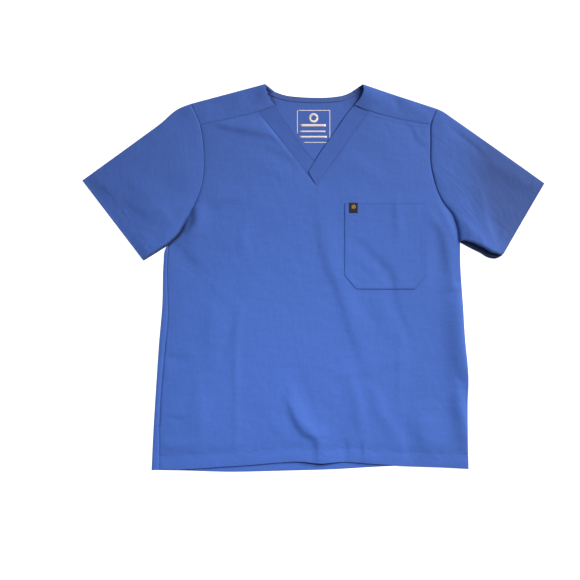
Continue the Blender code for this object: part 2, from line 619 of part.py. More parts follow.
def make_tab():
    """The small folded tab that lies over the pocket's upper edge."""
    width, height = TAB_SIZE
    corner = np.add(POCKET_CORNER, TAB_PLACE)
    across = corner[0] + np.linspace(0, width, TAB_CELLS + 1)
    down = corner[1] - np.linspace(0, height, TAB_CELLS + 1)
    plan = np.array([[(x, y) for x in across] for y in down])
    distance = 1.5 * CLOTH + POCKET_LIFT + GAP + TRIM_CLOTH / 2
    cloth("pocket_tab", moved_out(plan, distance), thickness=TRIM_CLOTH,
          colour=("tab", CHARCOAL))


make_front()
make_back()
make_facing()
make_pocket()
make_tab()
for each_side in (LEFT, RIGHT):
    make_yoke(each_side)
    make_sleeve(each_side)
    make_band(each_side)
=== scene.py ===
import math

import bmesh
import bpy
import numpy as np
from mathutils import Matrix, Vector, noise


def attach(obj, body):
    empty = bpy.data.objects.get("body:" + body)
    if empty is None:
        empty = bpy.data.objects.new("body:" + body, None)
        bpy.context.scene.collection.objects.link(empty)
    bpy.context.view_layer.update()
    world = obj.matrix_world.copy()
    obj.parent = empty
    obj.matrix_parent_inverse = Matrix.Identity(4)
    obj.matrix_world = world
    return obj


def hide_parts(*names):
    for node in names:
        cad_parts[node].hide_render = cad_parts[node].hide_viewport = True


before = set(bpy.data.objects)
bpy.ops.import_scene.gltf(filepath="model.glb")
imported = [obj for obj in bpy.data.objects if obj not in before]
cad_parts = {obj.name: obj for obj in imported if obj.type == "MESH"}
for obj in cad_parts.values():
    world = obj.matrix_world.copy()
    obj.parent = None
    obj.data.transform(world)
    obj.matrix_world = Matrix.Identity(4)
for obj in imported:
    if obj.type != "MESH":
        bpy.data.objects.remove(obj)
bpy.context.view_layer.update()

# ---- Studio --------------------------------------------------------------------------------------
# The top lies on a white light table. Two broad soft lamps stand beyond its upper right, one low and
# one high, and a spotlight beyond its top points at its lower half. The camera looks straight down.
VIEW_CENTRE = (-0.0441, -0.0234)
VIEW_WIDTH = 1.102
CAMERA_HEIGHT = 2.2
FLOOR_SIZE = 8.0
LAMPS = (
    # kind, place, what it points at, size, watts, tint
    ("AREA", (2.03, 1.70, 1.41), (0.0, 0.0, 0.0), 0.7, 59.0, (1.0, 0.98, 0.95)),
    ("AREA", (2.23, 1.29, 3.06), (0.0, 0.0, 0.0), 1.0, 94.0, (1.0, 0.71, 0.59)),
    ("SPOT", (-0.05, 1.22, 2.13), (-0.05, -0.44, 0.0), 0.3, 194.0, (0.73, 0.90, 1.0)),
)
SPOT_ANGLE = math.radians(28)
ROOM_LIGHT = 0.12
FLOOR_GLOW = 1.08           # the floor is a light table
FLOOR_TONE = (0.35, 0.35, 0.35, 1.0)
WHITE = (0.93, 0.93, 0.93, 1.0)

scene = bpy.context.scene
scene.view_settings.view_transform = "Standard"
scene.world = bpy.data.worlds.new("room")
scene.world.use_nodes = True
room = scene.world.node_tree.nodes["Background"]
room.inputs["Color"].default_value = (1.0, 1.0, 1.0, 1.0)
room.inputs["Strength"].default_value = ROOM_LIGHT

for kind, place, target, size, watts, tint in LAMPS:
    light = bpy.data.lights.new("lamp", kind)
    light.energy, light.color = watts, tint
    if kind == "AREA":
        light.size = size
    else:
        light.shadow_soft_size = size
        light.spot_size = SPOT_ANGLE
        light.spot_blend = 1.0
    lamp = bpy.data.objects.new("lamp", light)
    lamp.location = place
    lamp.rotation_mode = "QUATERNION"
    lamp.rotation_quaternion = (Vector(target) - Vector(place)).to_track_quat("-Z", "Y")
    scene.collection.objects.link(lamp)

lens = bpy.data.cameras.new("camera")
lens.lens = lens.sensor_width * CAMERA_HEIGHT / VIEW_WIDTH
camera = bpy.data.objects.new("camera", lens)
camera.location = (*VIEW_CENTRE, CAMERA_HEIGHT)
scene.collection.objects.link(camera)
scene.camera = camera

floor_mesh = bmesh.new()
bmesh.ops.create_grid(floor_mesh, x_segments=1, y_segments=1, size=FLOOR_SIZE / 2)
floor_data = bpy.data.meshes.new("floor")
floor_mesh.to_mesh(floor_data)
floor_mesh.free()
floor_paint = bpy.data.materials.new("floor_paint")
floor_paint.use_nodes = True
for name, value in (("Base Color", FLOOR_TONE), ("Roughness", 0.95), ("Emission Color", WHITE),
                    ("Emission Strength", FLOOR_GLOW)):
    floor_paint.node_tree.nodes["Principled BSDF"].inputs[name].default_value = value
floor_data.materials.append(floor_paint)
floor = bpy.data.objects.new("floor", floor_data)
scene.collection.objects.link(floor)

# ---- Front ---------------------------------------------------------------------------------------
# One piece of plain-weave poly-cotton in royal blue, with a matt face. It folds over the edge down
# the right and under to the side seam there; its hem is turned up inside and sewn through.
LEFT, RIGHT = -1, 1
SIDES = {LEFT: "left", RIGHT: "right"}
CLOTH = 0.0007             # thickness of one layer
SEAM = 0.00016             # half the gap between pieces at a seam
ROLL = 0.0015              # radius of a pressed fold
ROLL_POINTS, BEYOND_POINTS = 5, 4       # points round such a fold, and on the strip beyond it
LOW = 0.0005               # height of the lower layer's middle
HIGH = 0.0036              # height of the upper layer's middle at its seams
LOWEST, SOFT = 0.0020, 0.0026       # under SOFT, the upper layer's middle eases towards LOWEST
PUFF, PUFF_REACH = 0.0018, 0.024    # rise of a panel between its seams
HEM, HEM_GAP = 0.025, 0.0007        # depth of the hem, and from its face to its turned-up part
HEM_STEP = 0.00012         # height of a hem's step
SIDE_TURN = 0.008          # how far the front turns under at the right
UNDERARM_DROP = 0.003      # how far below the underarm the side's fold begins
FRONT_CELL = 0.0036
YOKE_LENGTH, V_LENGTH, ARM_LENGTH, SIDE_LENGTH = 0.115, 0.180, 0.235, 0.400   # of the front's seams
LIP = (0.0, 0.0006, 0.0013, 0.0022, 0.0034)   # rows close together beside a seam
UNDERARM = {LEFT: (-275.95, 61.2), RIGHT: (276.95, 67.8)}
HEM_CORNER = {LEFT: (-306.7, -364.5), RIGHT: (294.7, -362.3)}
SHOULDER_TIP = {LEFT: (-232.6, 329.7), RIGHT: (234.3, 320.5)}
YOKE_ARM = {LEFT: (-215.1, 290.1), RIGHT: (222.5, 290.5)}
YOKE_BAND = {LEFT: (-104.9, 314.8), RIGHT: (106.0, 316.0)}
V_POINT = (6.5, 173.3)
V_MIDDLE = {LEFT: (-47.6, 242.8), RIGHT: (54.6, 243.4)}
YOKE_SEAM = {LEFT: ((-183.1, 296.4), (-135.3, 307.0)), RIGHT: ((189.7, 295.5), (123.2, 311.0))}
ARMHOLE = {
    LEFT: ((-209.9, 260.0), (-207.6, 214.0), (-211.0, 179.0), (-219.0, 153.5), (-238.0, 113.4),
           (-256.0, 80.0)),
    RIGHT: ((222.0, 260.0), (222.6, 215.0), (233.3, 172.0), (247.0, 142.0), (264.0, 120.0),
            (273.0, 95.0)),
}
LEFT_SEAM = ((-276.8, 29.8), (-276.8, -93.7), (-280.1, -122.2), (-284.8, -169.7), (-289.6, -228.6),
             (-291.7, -279.9), (-291.7, -363.3))
RIGHT_EDGE = ((278.9, 30.0), (284.0, -54.0), (288.2, -122.0), (292.8, -168.0), (294.4, -195.0),
              (293.2, -233.0), (293.0, -290.0))
FRONT_HEM = ((-249.3, -363.8), (-213.9, -361.6), (-168.0, -358.5), (-122.0, -355.5), (-52.6, -350.0),
             (-27.4, -349.0), (14.1, -351.8), (54.2, -349.6), (115.9, -353.2), (165.5, -357.0),
             (239.6, -359.5))
BLUE_DEEP = (0.052, 0.130, 0.475, 1.0)
BLUE_LIGHT = (0.062, 0.155, 0.560, 1.0)
# painted shade: the colour towards which narrow gaps and turned-away faces are painted
BLUE_SHADED = (0.008, 0.018, 0.060, 1.0)
SHADED_FROM, SHADED_OVER = 0.0006, 0.0002     # that shade sets in above this height, over this much
# the darker, greyer blue that the right sleeve turns towards its cuff
BLUE_GREYER = (0.050, 0.110, 0.365, 1.0)
THREAD_PITCH = 0.00055
SLUB_LONG, SLUB_WIDE = 0.011, 0.0011
CLOUD, MOTTLE = 0.075, 0.007
CLOUD_SHARE, MOTTLE_SHARE, SLUB_SHARE, SHADE_LEVEL = 0.4, 0.5, 0.35, 0.3
ROUGH, SLUB_ROUGH, SHEEN = 0.78, 0.14, 0.12
WEAVE_HEIGHT, WEAVE_STRENGTH, SLUB_HEIGHT = 0.0001, 0.3, 0.8
CRINKLE, CRINKLE_HEIGHT = (0.011, 0.030), 0.00048
FRONT_CREASES = (
    # height of the crest or depth of the trough, its half widths to the left and right of its route,
    # and the points x, y of the route, all in mm
    # long drag line from the V down to the right
    (2.7, 20, 12, ((9, 148), (15, 107), (23, 63), (28, 39), (37, 13), (49, -10), (57, -35),
     (66, -65), (76, -97), (91, -135), (106, -177))),
    # folds under the left yoke, beside the left band and into the right armhole
    (3.0, 20, 7, ((-197, 304), (-171, 291), (-141, 284), (-115, 280), (-87, 274), (-60, 260))),
    (-1.4, 7, 15, ((-103, 245), (-84, 237), (-65, 230), (-53, 225), (-43, 212))),
    (-1.2, 4, 10, ((177, 297), (187, 276), (198, 257), (216, 244))),
    # slack below the right yoke and across the right chest
    (-0.4, 4, 6, ((129, 300), (139, 283), (154, 256))),
    (1.0, 14, 18, ((65, 238), (100, 203), (147, 179))),
    # drag from the left underarm, and its faint end
    (-2.2, 11, 23, ((-265, 62), (-246, 43), (-230, 23), (-210, 13))),
    (0.4, 15, 4, ((-211, 7), (-185, -20), (-162, -42))),
    # left belly: a soft upright swell, and a hollow beside it
    (1.6, 31, 11, ((-191, -35), (-195, -85), (-198, -142))),
    (-1.1, 7, 10, ((-152, -77), (-164, -119), (-179, -168))),
    # pulls at the top and the foot of the hand pocket's opening, and above the left hem corner
    (-1.1, 5, 13, ((-281, -148), (-261, -152), (-237, -150))),
    (-0.9, 5, 13, ((-280, -267), (-261, -267), (-242, -271))),
    (1.2, 18, 8, ((-290, -315), (-264, -318), (-234, -316))),
    # edges of the left pocket bag, and a soft swell beside them
    (1.5, 8, 6, ((-135, -55), (-142, -77), (-146, -109), (-148, -156), (-146, -232), (-146, -331))),
    (1.3, 12, 10, ((-218, -198), (-214, -251), (-214, -327))),
    (1.2, 31, 6, ((-225, -214), (-229, -253), (-237, -291))),
    # edge of the right pocket bag, and a pressed line across the belly
    (1.1, 14, 6, ((161, -92), (163, -137), (163, -194), (161, -255))),
    (1.1, 20, 12, ((33, -186), (100, -173), (168, -158))),
    # right side below the armhole: a fold, and a short one beside it
    (3.0, 13, 10, ((224, 119), (244, 92), (255, 53), (261, 19), (270, -19))),
    (2.3, 6, 8, ((240, 136), (255, 106), (267, 71))),
    # beside the curl above the hem: a swell to its left, and a soft hollow over it
    (1.0, 15, 7, ((-82, -268), (-69, -287), (-58, -302))),
    (-1.0, 10, 26, ((-23, -181), (-15, -219), (-3, -254))),
    # lower right: two drag lines, then a soft swell above the hem and a hollow beside it
    (2.3, 11, 14, ((70, -187), (79, -213), (85, -240), (89, -270), (100, -301))),
    (2.0, 11, 14, ((107, -203), (118, -225), (131, -256), (148, -286), (164, -313))),
    (2.9, 31, 18, ((199, -264), (214, -306), (225, -350))),
    (-1.8, 22, 6, ((173, -270), (177, -312), (177, -354))),
    # puckers at the hem
    (-1.8, 6, 13, ((59, -301), (61, -328), (61, -354))),
    (1.2, 7, 3, ((96, -308), (96, -352))),
    (0.8, 7, 11, ((109, -318), (109, -352))),
    # over the pocket: upright, slanting and short
    (1.7, 10, 6, ((156, 148), (158, 121), (160, 81))),
    (-1.9, 9, 15, ((79, 70), (96, 56), (113, 37), (133, 18), (145, 1), (149, -24), (153, -50),
     (163, -75), (178, -110))),
    (-0.7, 7, 7, ((81, 25), (100, 8), (123, -11))),
    # slant between the pocket and the drag line, and a crease at the pocket's outer corner
    (-0.7, 14, 14, ((89, -37), (104, -67), (123, -101))),
    (1.1, 4, 8, ((196, 148), (198, 129), (200, 110))),
    # soft hollow to the right of the pocket
    (-2.3, 20, 12, ((231, 72), (235, 30), (231, -24))),
    # left chest: a packing fold, and a packing line
    (1.6, 22, 13, ((-219, 151), (-174, 151), (-121, 155))),
    (1.0, 12, 9, ((-133, 102), (-133, 45))),
    # the curl: its crest, and on to the hem
    (5.2, 20, 9, ((-46, -225), (-40, -242), (-34, -259), (-26, -275), (-17, -287), (-6, -295),
     (7, -299))),
    (4.0, 20, 9, ((-4, -293), (6, -303), (11, -318), (12, -335), (11, -352))),
    # bulges along the right side's edge
    (9.5, 8, 24, ((271, -20), (277, -58), (279, -99), (283, -137), (288, -172), (296, -202))),
    (7.5, 8, 17, ((275, -206), (279, -236), (285, -274), (290, -316))),
    # tuck beside the left armhole
    (5.0, 16, 10, ((-223, 142), (-219, 125), (-219, 110), (-225, 94), (-238, 81), (-251, 70))),
    # hem lifted off the back's hem
    (2.2, 16, 10, ((-25, -350), (-6, -352), (13, -354), (32, -352), (47, -350))),
)


class Socket:
    """A node's output in a material; sums on it add Math nodes."""

    def __init__(self, tree, output=None):
        self.tree, self.output = tree, output

    def node(self, kind, settings=None, inputs=None, output=0):
        """Adds a node of any kind: its settings, then a value or a link for each input."""
        node = self.tree.nodes.new(kind)
        for name, value in (settings or {}).items():
            setattr(node, name, value)
        for name, value in (inputs or {}).items():
            if isinstance(value, Socket):
                self.tree.links.new(value.output, node.inputs[name])
            else:
                node.inputs[name].default_value = value
        return Socket(self.tree, node.outputs[output])

    def math(self, operation, first, second=0.0):
        return self.node("ShaderNodeMath", {"operation": operation}, {0: first, 1: second})

    def kept(self, least, most):
        """This value, kept between two others."""
        return self.math("MINIMUM", self.math("MAXIMUM", self, least), most)

    def __add__(self, other):
        return self.math("ADD", self, other)

    def __sub__(self, other):
        return self.math("SUBTRACT", self, other)

    def __mul__(self, other):
        return self.math("MULTIPLY", self, other)

    def __rsub__(self, other):
        return self.math("SUBTRACT", other, self)

    __radd__, __rmul__ = __add__, __mul__

    def sine(self):
        return self.math("SINE", self)

    def blend(self, first, second):
        """A colour from the first to the second as this value goes from 0 to 1."""
        return self.node("ShaderNodeMix", {"data_type": "RGBA"}, {0: self, 6: first, 7: second}, 2)

    def scaled(self, *factors):
        """This vector, each part times its own factor."""
        return self.node("ShaderNodeVectorMath", {"operation": "MULTIPLY"}, {0: self, 1: factors})

    def part(self, index):
        """One part of this vector."""
        return self.node("ShaderNodeSeparateXYZ", inputs={0: self}, output=index)

    def clouds(self, *factors, detail=2.0):
        """Soft noise, 0 to 1, over this vector stretched by its factors."""
        return self.node("ShaderNodeTexNoise", {"noise_dimensions": "2D"},
                         {"Vector": self.scaled(*factors), "Scale": 1.0, "Detail": detail})

    def bumped(self, distance, strength=1.0, **under):
        """A normal from this value as a height, over the normal under it if there is one."""
        return self.node("ShaderNodeBump", inputs={"Height": self, "Strength": strength,
                                                   "Distance": distance, **under})


def finish(name, roughness, colour=WHITE, sheen=0.0):
    """A new material: the material, a start for its nodes, and a function that links its inputs."""
    made = bpy.data.materials.new(name)
    made.use_nodes = True
    shader = made.node_tree.nodes["Principled BSDF"]
    for input_name, value in (("Base Color", colour), ("Roughness", roughness),
                              ("Sheen Weight", sheen), ("Sheen Roughness", 0.45),
                              ("Specular IOR Level", 0.25)):
        shader.inputs[input_name].default_value = value

    def link(input_name, socket):
        made.node_tree.links.new(socket.output, shader.inputs[input_name])

    return made, Socket(made.node_tree), link


def woven(name, deep, light, pitch, greying=None):
    """Plain weave: clouds and slubs in its colour, and its threads and fine crinkles as bump.

    Shade is painted into its colour where the piece is marked as shaded, on its upper face. Where it turns
    darker and greyer towards the cuff, that sets in at a distance from the armhole and is complete after
    another.
    """
    made, start, link = finish(name, ROUGH + SLUB_ROUGH / 2, sheen=SHEEN)
    grain = start.node("ShaderNodeUVMap", {"uv_map": "grain"})
    weft = grain.clouds(1 / SLUB_LONG, 1 / SLUB_WIDE, 1.0)
    warp = grain.clouds(1 / SLUB_WIDE, 1 / SLUB_LONG, 1.0)
    mottle = grain.clouds(1 / MOTTLE, 1 / MOTTLE, 1.0)
    shade = (grain.clouds(1 / CLOUD, 1 / CLOUD, 1.0) * CLOUD_SHARE + mottle * MOTTLE_SHARE
             + weft * SLUB_SHARE + warp * SLUB_SHARE - SHADE_LEVEL)
    above = (start.node("ShaderNodeTexCoord", output=3).part(2) - SHADED_FROM) * (1 / SHADED_OVER)
    painted_shade = start.node("ShaderNodeAttribute", {"attribute_name": "shaded"}, output=2)
    colour = shade.blend(deep, light)
    if greying is not None:
        near_cuff = grain.part(1) * (-1 / greying[1]) - greying[0] / greying[1]
        colour = near_cuff.kept(0.0, 1.0).blend(colour, BLUE_GREYER)
    # painted shade: the colour goes towards BLUE_SHADED where the shaded attribute marks it, on upper faces
    # only
    link("Base Color", (painted_shade * above.kept(0.0, 1.0)).blend(colour, BLUE_SHADED))
    link("Roughness", ROUGH + weft * SLUB_ROUGH)
    turns = grain.scaled(math.pi / pitch, math.pi / pitch, 0.0)
    height = turns.part(0).sine() * turns.part(1).sine() + (weft + warp) * SLUB_HEIGHT
    crinkles = (grain.clouds(1 / CRINKLE[0], 1 / CRINKLE[1], 1.0, detail=4.0)
                + grain.clouds(1 / CRINKLE[1], 1 / CRINKLE[0], 1.0, detail=4.0)).bumped(CRINKLE_HEIGHT)
    link("Normal", height.bumped(WEAVE_HEIGHT, strength=WEAVE_STRENGTH, Normal=crinkles))
    return made


cloth = woven("scrub_cloth", BLUE_DEEP, BLUE_LIGHT, THREAD_PITCH)


def smooth(*points, fineness=10):
    """A dense smooth curve in metres through points in millimetres."""
    points = np.array(points, float) / 1000
    if len(points) == 2:
        return points[0] + np.linspace(0, 1, fineness)[:, None] * (points[1] - points[0])
    chord = np.linalg.norm(np.diff(points, axis=0), axis=1)
    slopes = np.gradient(points, np.concatenate(([0], np.cumsum(chord))), axis=0)
    t = np.linspace(0, 1, fineness, endpoint=False)[:, None]
    curve = [(2 * t**3 - 3 * t**2 + 1) * a + (t**3 - 2 * t**2 + t) * span * slope_a
             + (3 * t**2 - 2 * t**3) * b + (t**3 - t**2) * span * slope_b
             for a, b, slope_a, slope_b, span in zip(points, points[1:], slopes, slopes[1:], chord)]
    return np.vstack((*curve, points[-1:]))


def lengths(points, axis=0):
    """Distance along a curve, or along one way of a grid, at each of its points."""
    gaps = np.diff(points, axis=axis, prepend=np.take(points, [0], axis))
    return np.cumsum(np.linalg.norm(gaps, axis=-1), axis=axis)


def unit(vectors):
    """Vectors in the same directions, of length 1."""
    return vectors / np.maximum(np.linalg.norm(vectors, axis=-1, keepdims=True), 1e-12)


def at(curve, places):
    """The curve's points at places along it, 0 to 1."""
    along = lengths(curve)
    return np.stack([np.interp(np.asarray(places) * along[-1], along, part) for part in curve.T], axis=-1)


def less(curve, start=0.0, end=0.0):
    """A curve without a stretch of the given length at either end."""
    whole = lengths(curve)[-1]
    return at(curve, np.linspace(start / whole, 1 - end / whole, 2 * len(curve)))


def evenly(curve, step, least):
    """Points about a step apart along a curve, and no fewer than the least."""
    return at(curve, np.linspace(0, 1, max(least, int(lengths(curve)[-1] / step))))


def steps(length, cell, start=False, end=False):
    """Places 0 to 1 along a length, a cell apart, and closer beside an end that is a seam."""
    first = LIP if start else (0.0,)
    last = [length - each for each in reversed(LIP)] if end else [length]
    count = max(2, round((last[0] - first[-1]) / cell) + 1)
    return np.concatenate((first, np.linspace(first[-1], last[0], count)[1:-1], last)) / length


def joined(*stretches):
    """Stretches that share their end points, as one row of points."""
    return np.vstack([stretches[0]] + [stretch[1:] for stretch in stretches[1:]])


def share(edge):
    """How far along an edge's chord each of its points is, 0 to 1."""
    chord = edge[-1] - edge[0]
    return (edge - edge[0]) @ chord / (chord @ chord)


def fill(top, bottom, left, right):
    """A grid of points between four edges that meet at their corners, rows from top to bottom."""
    u = share(top)[None, :, None]
    v = (share(left) + share(right))[:, None, None] / 2
    corners = ((1 - u) * (1 - v) * top[0] + u * (1 - v) * top[-1]
               + (1 - u) * v * bottom[0] + u * v * bottom[-1])
    return (1 - v) * top + v * bottom + (1 - u) * left[:, None] + u * right[:, None] - corners


def hemmed_plan(top, hem, left, right):
    """The plan of a panel with a hem: rows follow its top, its hem's stitching and its edge.

    Each side is its points in two stretches, down to the stitching and on to the edge.
    """
    u = share(top)[:, None]
    edge = at(hem, u[:, 0])
    stitching = edge + (1 - u) * (left[0][-1] - edge[0]) + u * (right[0][-1] - edge[-1])
    return np.concatenate((fill(top, stitching, left[0], right[0]),
                           fill(stitching, edge, left[1], right[1])[1:]))


AT_A_TIME = 4000           # points that are measured at once, which keeps the arrays small


def near(points, curve):
    """Distance of points of the plane from a curve, above 0 on its left, and places along it."""
    step = np.diff(curve, axis=0)
    square = (step**2).sum(-1)
    gaps, places = [], []
    for part in np.array_split(points, len(points) // AT_A_TIME + 1):
        offset = part[:, None] - curve[:-1]
        along = np.clip((offset * step).sum(-1) / square, 0, 1)
        offset -= along[..., None] * step
        gap = (offset**2).sum(-1)
        pick = np.arange(len(part)), gap.argmin(1)
        turn = step[pick[1], 0] * offset[pick][:, 1] - step[pick[1], 1] * offset[pick][:, 0]
        gaps.append(np.sqrt(gap[pick]) * np.where(turn < 0, -1, 1))
        places.append((pick[1] + along[pick]) / len(step))
    return np.concatenate(gaps), np.concatenate(places)


def beside(points, curve, reach):
    """Which points lie within reach of a curve, their distances from it and places along it."""
    close = ((points > curve.min(0) - reach) & (points < curve.max(0) + reach)).all(1)
    found = np.flatnonzero(close)
    return (found, *near(points[found], curve)) if len(found) else (found, np.zeros(0), np.zeros(0))


def waves(points, seed, size, height):
    """Slight unevenness of cloth that lies free: soft swells about `size` across."""
    return height * np.array([noise.noise(Vector((x / size, y / size, seed))) for x, y in points])


CRUMPLE_MEAN = 0.2         # about the mean of what crumple raises, taken off it again


def crumpled(points, seed, size, height):
    """Crumple of cloth that was folded: thin valleys between soft swells about `size` across."""
    return height * (np.abs(waves(points, seed, size, 1.0)) - CRUMPLE_MEAN)


def bell(distance, width):
    """1 at no distance, and softly down to 0 past a half width."""
    return np.exp(-(distance / width)**2)


def drop_off(distance, edge, soft):
    """1 up to an edge and 0 beyond it, with a soft change between them."""
    return 1 / (1 + np.exp(np.clip((distance - edge) / soft, -50, 50)))


def shaded(points, *lines):
    """How much shade is painted on the cloth in narrow gaps, 0 to 1: along lines, from their strengths and
    half widths.
    """
    flat = points[..., :2].reshape(-1, 2)
    dark = np.zeros(len(flat))
    for strengths, width, curve in lines:
        found, gap, place = beside(flat, curve, 3 * width)
        strength = np.interp(place, np.linspace(0, 1, len(strengths)), strengths)
        dark[found] = np.maximum(dark[found], strength * bell(gap, width))
    return dark.reshape(points.shape[:-1])


SWELL, SMALL_SWELL = (0.07, 0.0004), (0.026, 0.00018)     # unevenness of a free panel: size, height
CRUMPLE, SMALL_CRUMPLE = 0.040, 0.019     # sizes of its crumple; the small one is half as high
CREASE_REACH, CREASE_END = 0.0026, 0.04   # reach for each mm of width, and the part that fades out
SEAM_REACH, HELD = 0.020, 0.003           # reach of a seam, and width over which it holds cloth flat
ALLOWANCE, ALLOWANCE_SOFT = 0.009, 0.001  # width of the allowance inside, and of its soft edge


def lie(points, lift=0.0, rim=None, creases=(), seams=(), seed=1.7, crumple=0.0003):
    """Heights of an upper piece's middle over points of the plane.

    It rises between the seams of its rim, is held flat beside its seams and dips into them:
    each of those is its curve, the dip's depth and half width, and the step of its allowance.
    """
    flat = points.reshape(-1, 2)
    relief = (waves(flat, seed, *SWELL) + waves(flat, seed + 5, *SMALL_SWELL)
              + crumpled(flat, seed + 11, CRUMPLE, crumple)
              + crumpled(flat, seed + 17, SMALL_CRUMPLE, crumple / 2))
    for rise, left_width, right_width, route in creases:
        curve = smooth(*route, fineness=4)
        found, gap, place = beside(flat, curve, CREASE_REACH * max(left_width, right_width))
        width = np.where(gap > 0, left_width, right_width) / 1000
        fade = np.sqrt(np.sin(math.pi * np.clip(place, CREASE_END, 1 - CREASE_END)))
        relief[found] += rise / 1000 * fade * bell(gap, width)
    dip = np.zeros(len(flat))
    for curve, depth, width, allowance in seams:
        found, gap, _ = beside(flat, curve, SEAM_REACH)
        relief[found] *= 1 - bell(gap, HELD)
        dip[found] += allowance * drop_off(np.abs(gap), ALLOWANCE, ALLOWANCE_SOFT) - depth * bell(gap, width)
    height = HIGH + lift + relief + dip
    if rim is not None:
        height += PUFF * (1 - np.exp(-np.abs(near(flat, rim)[0]) / PUFF_REACH))
    ease = SOFT - LOWEST
    eased = LOWEST + ease * np.exp(np.minimum(height - SOFT, 0) / ease)
    return np.where(height < SOFT, eased, height).reshape(points.shape[:-1])


def raised(points, height):
    """Points (x, y, z) from points of the plane and their heights."""
    return np.concatenate((points, np.broadcast_to(height, points.shape[:-1])[..., None]), axis=-1)


LOW_SWELL = (3.1, 0.06, 0.0004)       # seed, size and height


def low(points):
    """Points of the lower layer, which lies on the surface and lifts a hair from it in places."""
    lifted = np.maximum(waves(points.reshape(-1, 2), *LOW_SWELL), 0)
    return raised(points, LOW + lifted.reshape(points.shape[:-1]))


def rolled(above, below, outer, count=ROLL_POINTS):
    """Points round a fold from its start above to its end below, out to a point (x, y)."""
    middle = below[2] + ROLL
    ring = []
    for angle in np.linspace(math.pi / 2, -math.pi / 2, count + 2)[1:-1]:
        end = above if angle > 0 else below
        plan = end[:2] + (np.asarray(outer) - end[:2]) * math.cos(angle)
        ring.append((*plan, middle + (end[2] - middle) * abs(math.sin(angle))))
    return np.array(ring)


def turned(rows, side, start, far_layer, seam):
    """Adds to rows, from row `start` down, the fold over the body's edge and the part beyond it."""
    wide = []
    for index, row in enumerate(rows):
        end = row[-1] if side == RIGHT else row[0]
        if index < start:
            strip = np.repeat(end[None], ROLL_POINTS + BEYOND_POINTS, axis=0)
        else:
            drop = np.array((0, max(0.0, UNDERARM_DROP - (rows[start, 0, 1] - row[0, 1]))))
            near_end, seam_end = end[:2] - drop, seam[index - start] - drop
            shares = np.linspace(0, 1, BEYOND_POINTS)[:, None]
            far = far_layer(near_end + shares * (seam_end - near_end))
            above, below = (end, far[0]) if side == RIGHT else (far[0], end)
            roll = rolled(above, below, near_end + (side * ROLL, 0.0))
            strip = np.vstack((roll if side == RIGHT else roll[::-1], far))
        wide.append(np.vstack((row, strip) if side == RIGHT else (strip[::-1], row)))
    return np.array(wide)


def drawn_back(rows, *sides, amount=SEAM):
    """Rows with the named sides drawn back from their seams by half a gap."""
    rows = rows.copy()
    edges = {"top": (rows[0], rows[1]), "bottom": (rows[-1], rows[-2]),
             "left": (rows[:, 0], rows[:, 1]), "right": (rows[:, -1], rows[:, -2])}
    for side in sides:
        edge, inner = edges[side]
        edge += unit(inner - edge) * amount
    return rows


def hemmed(rows, count, gap=HEM_GAP, probe=None, up=False):
    """Rows with a hem: the last `count` of them again inside, `gap` from their face, edge rounded.

    At the `probe` column the inside is below the face, or above it if `up`.
    """
    probe = rows.shape[1] // 2 if probe is None else probe
    inward = unit(np.cross(np.gradient(rows, axis=1), np.gradient(rows, axis=0)))
    if (inward[-2, probe, 2] > 0) != up:
        inward = -inward
    inside = (rows + inward * gap)[::-1]
    edge = (rows[-1] + inside[0]) / 2 + unit(rows[-1] - rows[-2]) * gap / 2
    kept = sorted({0, 1, 3, *range(5, count, 2), count - 1})
    return np.concatenate((rows, edge[None], inside[kept]))


def grain_over(rows, first=0, last=None, hem=None):
    """The cloth's own grain in metres: the plan's, carried on round the folds beyond it."""
    last = rows.shape[1] - 1 if last is None else last
    hem = rows.shape[0] - 1 if hem is None else hem
    grain = rows[..., :2].copy()
    across, down = lengths(rows, axis=1), lengths(rows)
    for beyond, anchor in ((slice(last, None), last), (slice(None, first), first)):
        grain[:, beyond, 0] = grain[:, [anchor], 0] + across[:, beyond] - across[:, [anchor]]
        grain[:, beyond, 1] = grain[:, [anchor], 1]
    grain[hem:, :, 1] = grain[hem, :, 1] - down[hem:] + down[hem]
    grain[hem:, :, 0] = grain[hem, :, 0]
    return grain


def tube_grain(rows):
    """The grain of a piece that turns: distance across and down it, in metres."""
    return np.stack((lengths(rows, axis=1), -lengths(rows)), axis=-1)


def placed(name, mesh, made_of):
    """A piece from a bmesh, smooth, in its material."""
    data = bpy.data.meshes.new(name)
    mesh.to_mesh(data)
    mesh.free()
    data.shade_smooth()
    data.materials.append(made_of)
    piece = bpy.data.objects.new(name, data)
    scene.collection.objects.link(piece)
    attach(piece, "root")
    return piece


EDGE_PAINTED_SHADE, EDGE_TURN = 0.55, 0.45      # shade painted on a folded edge's side, where its face turns away from above


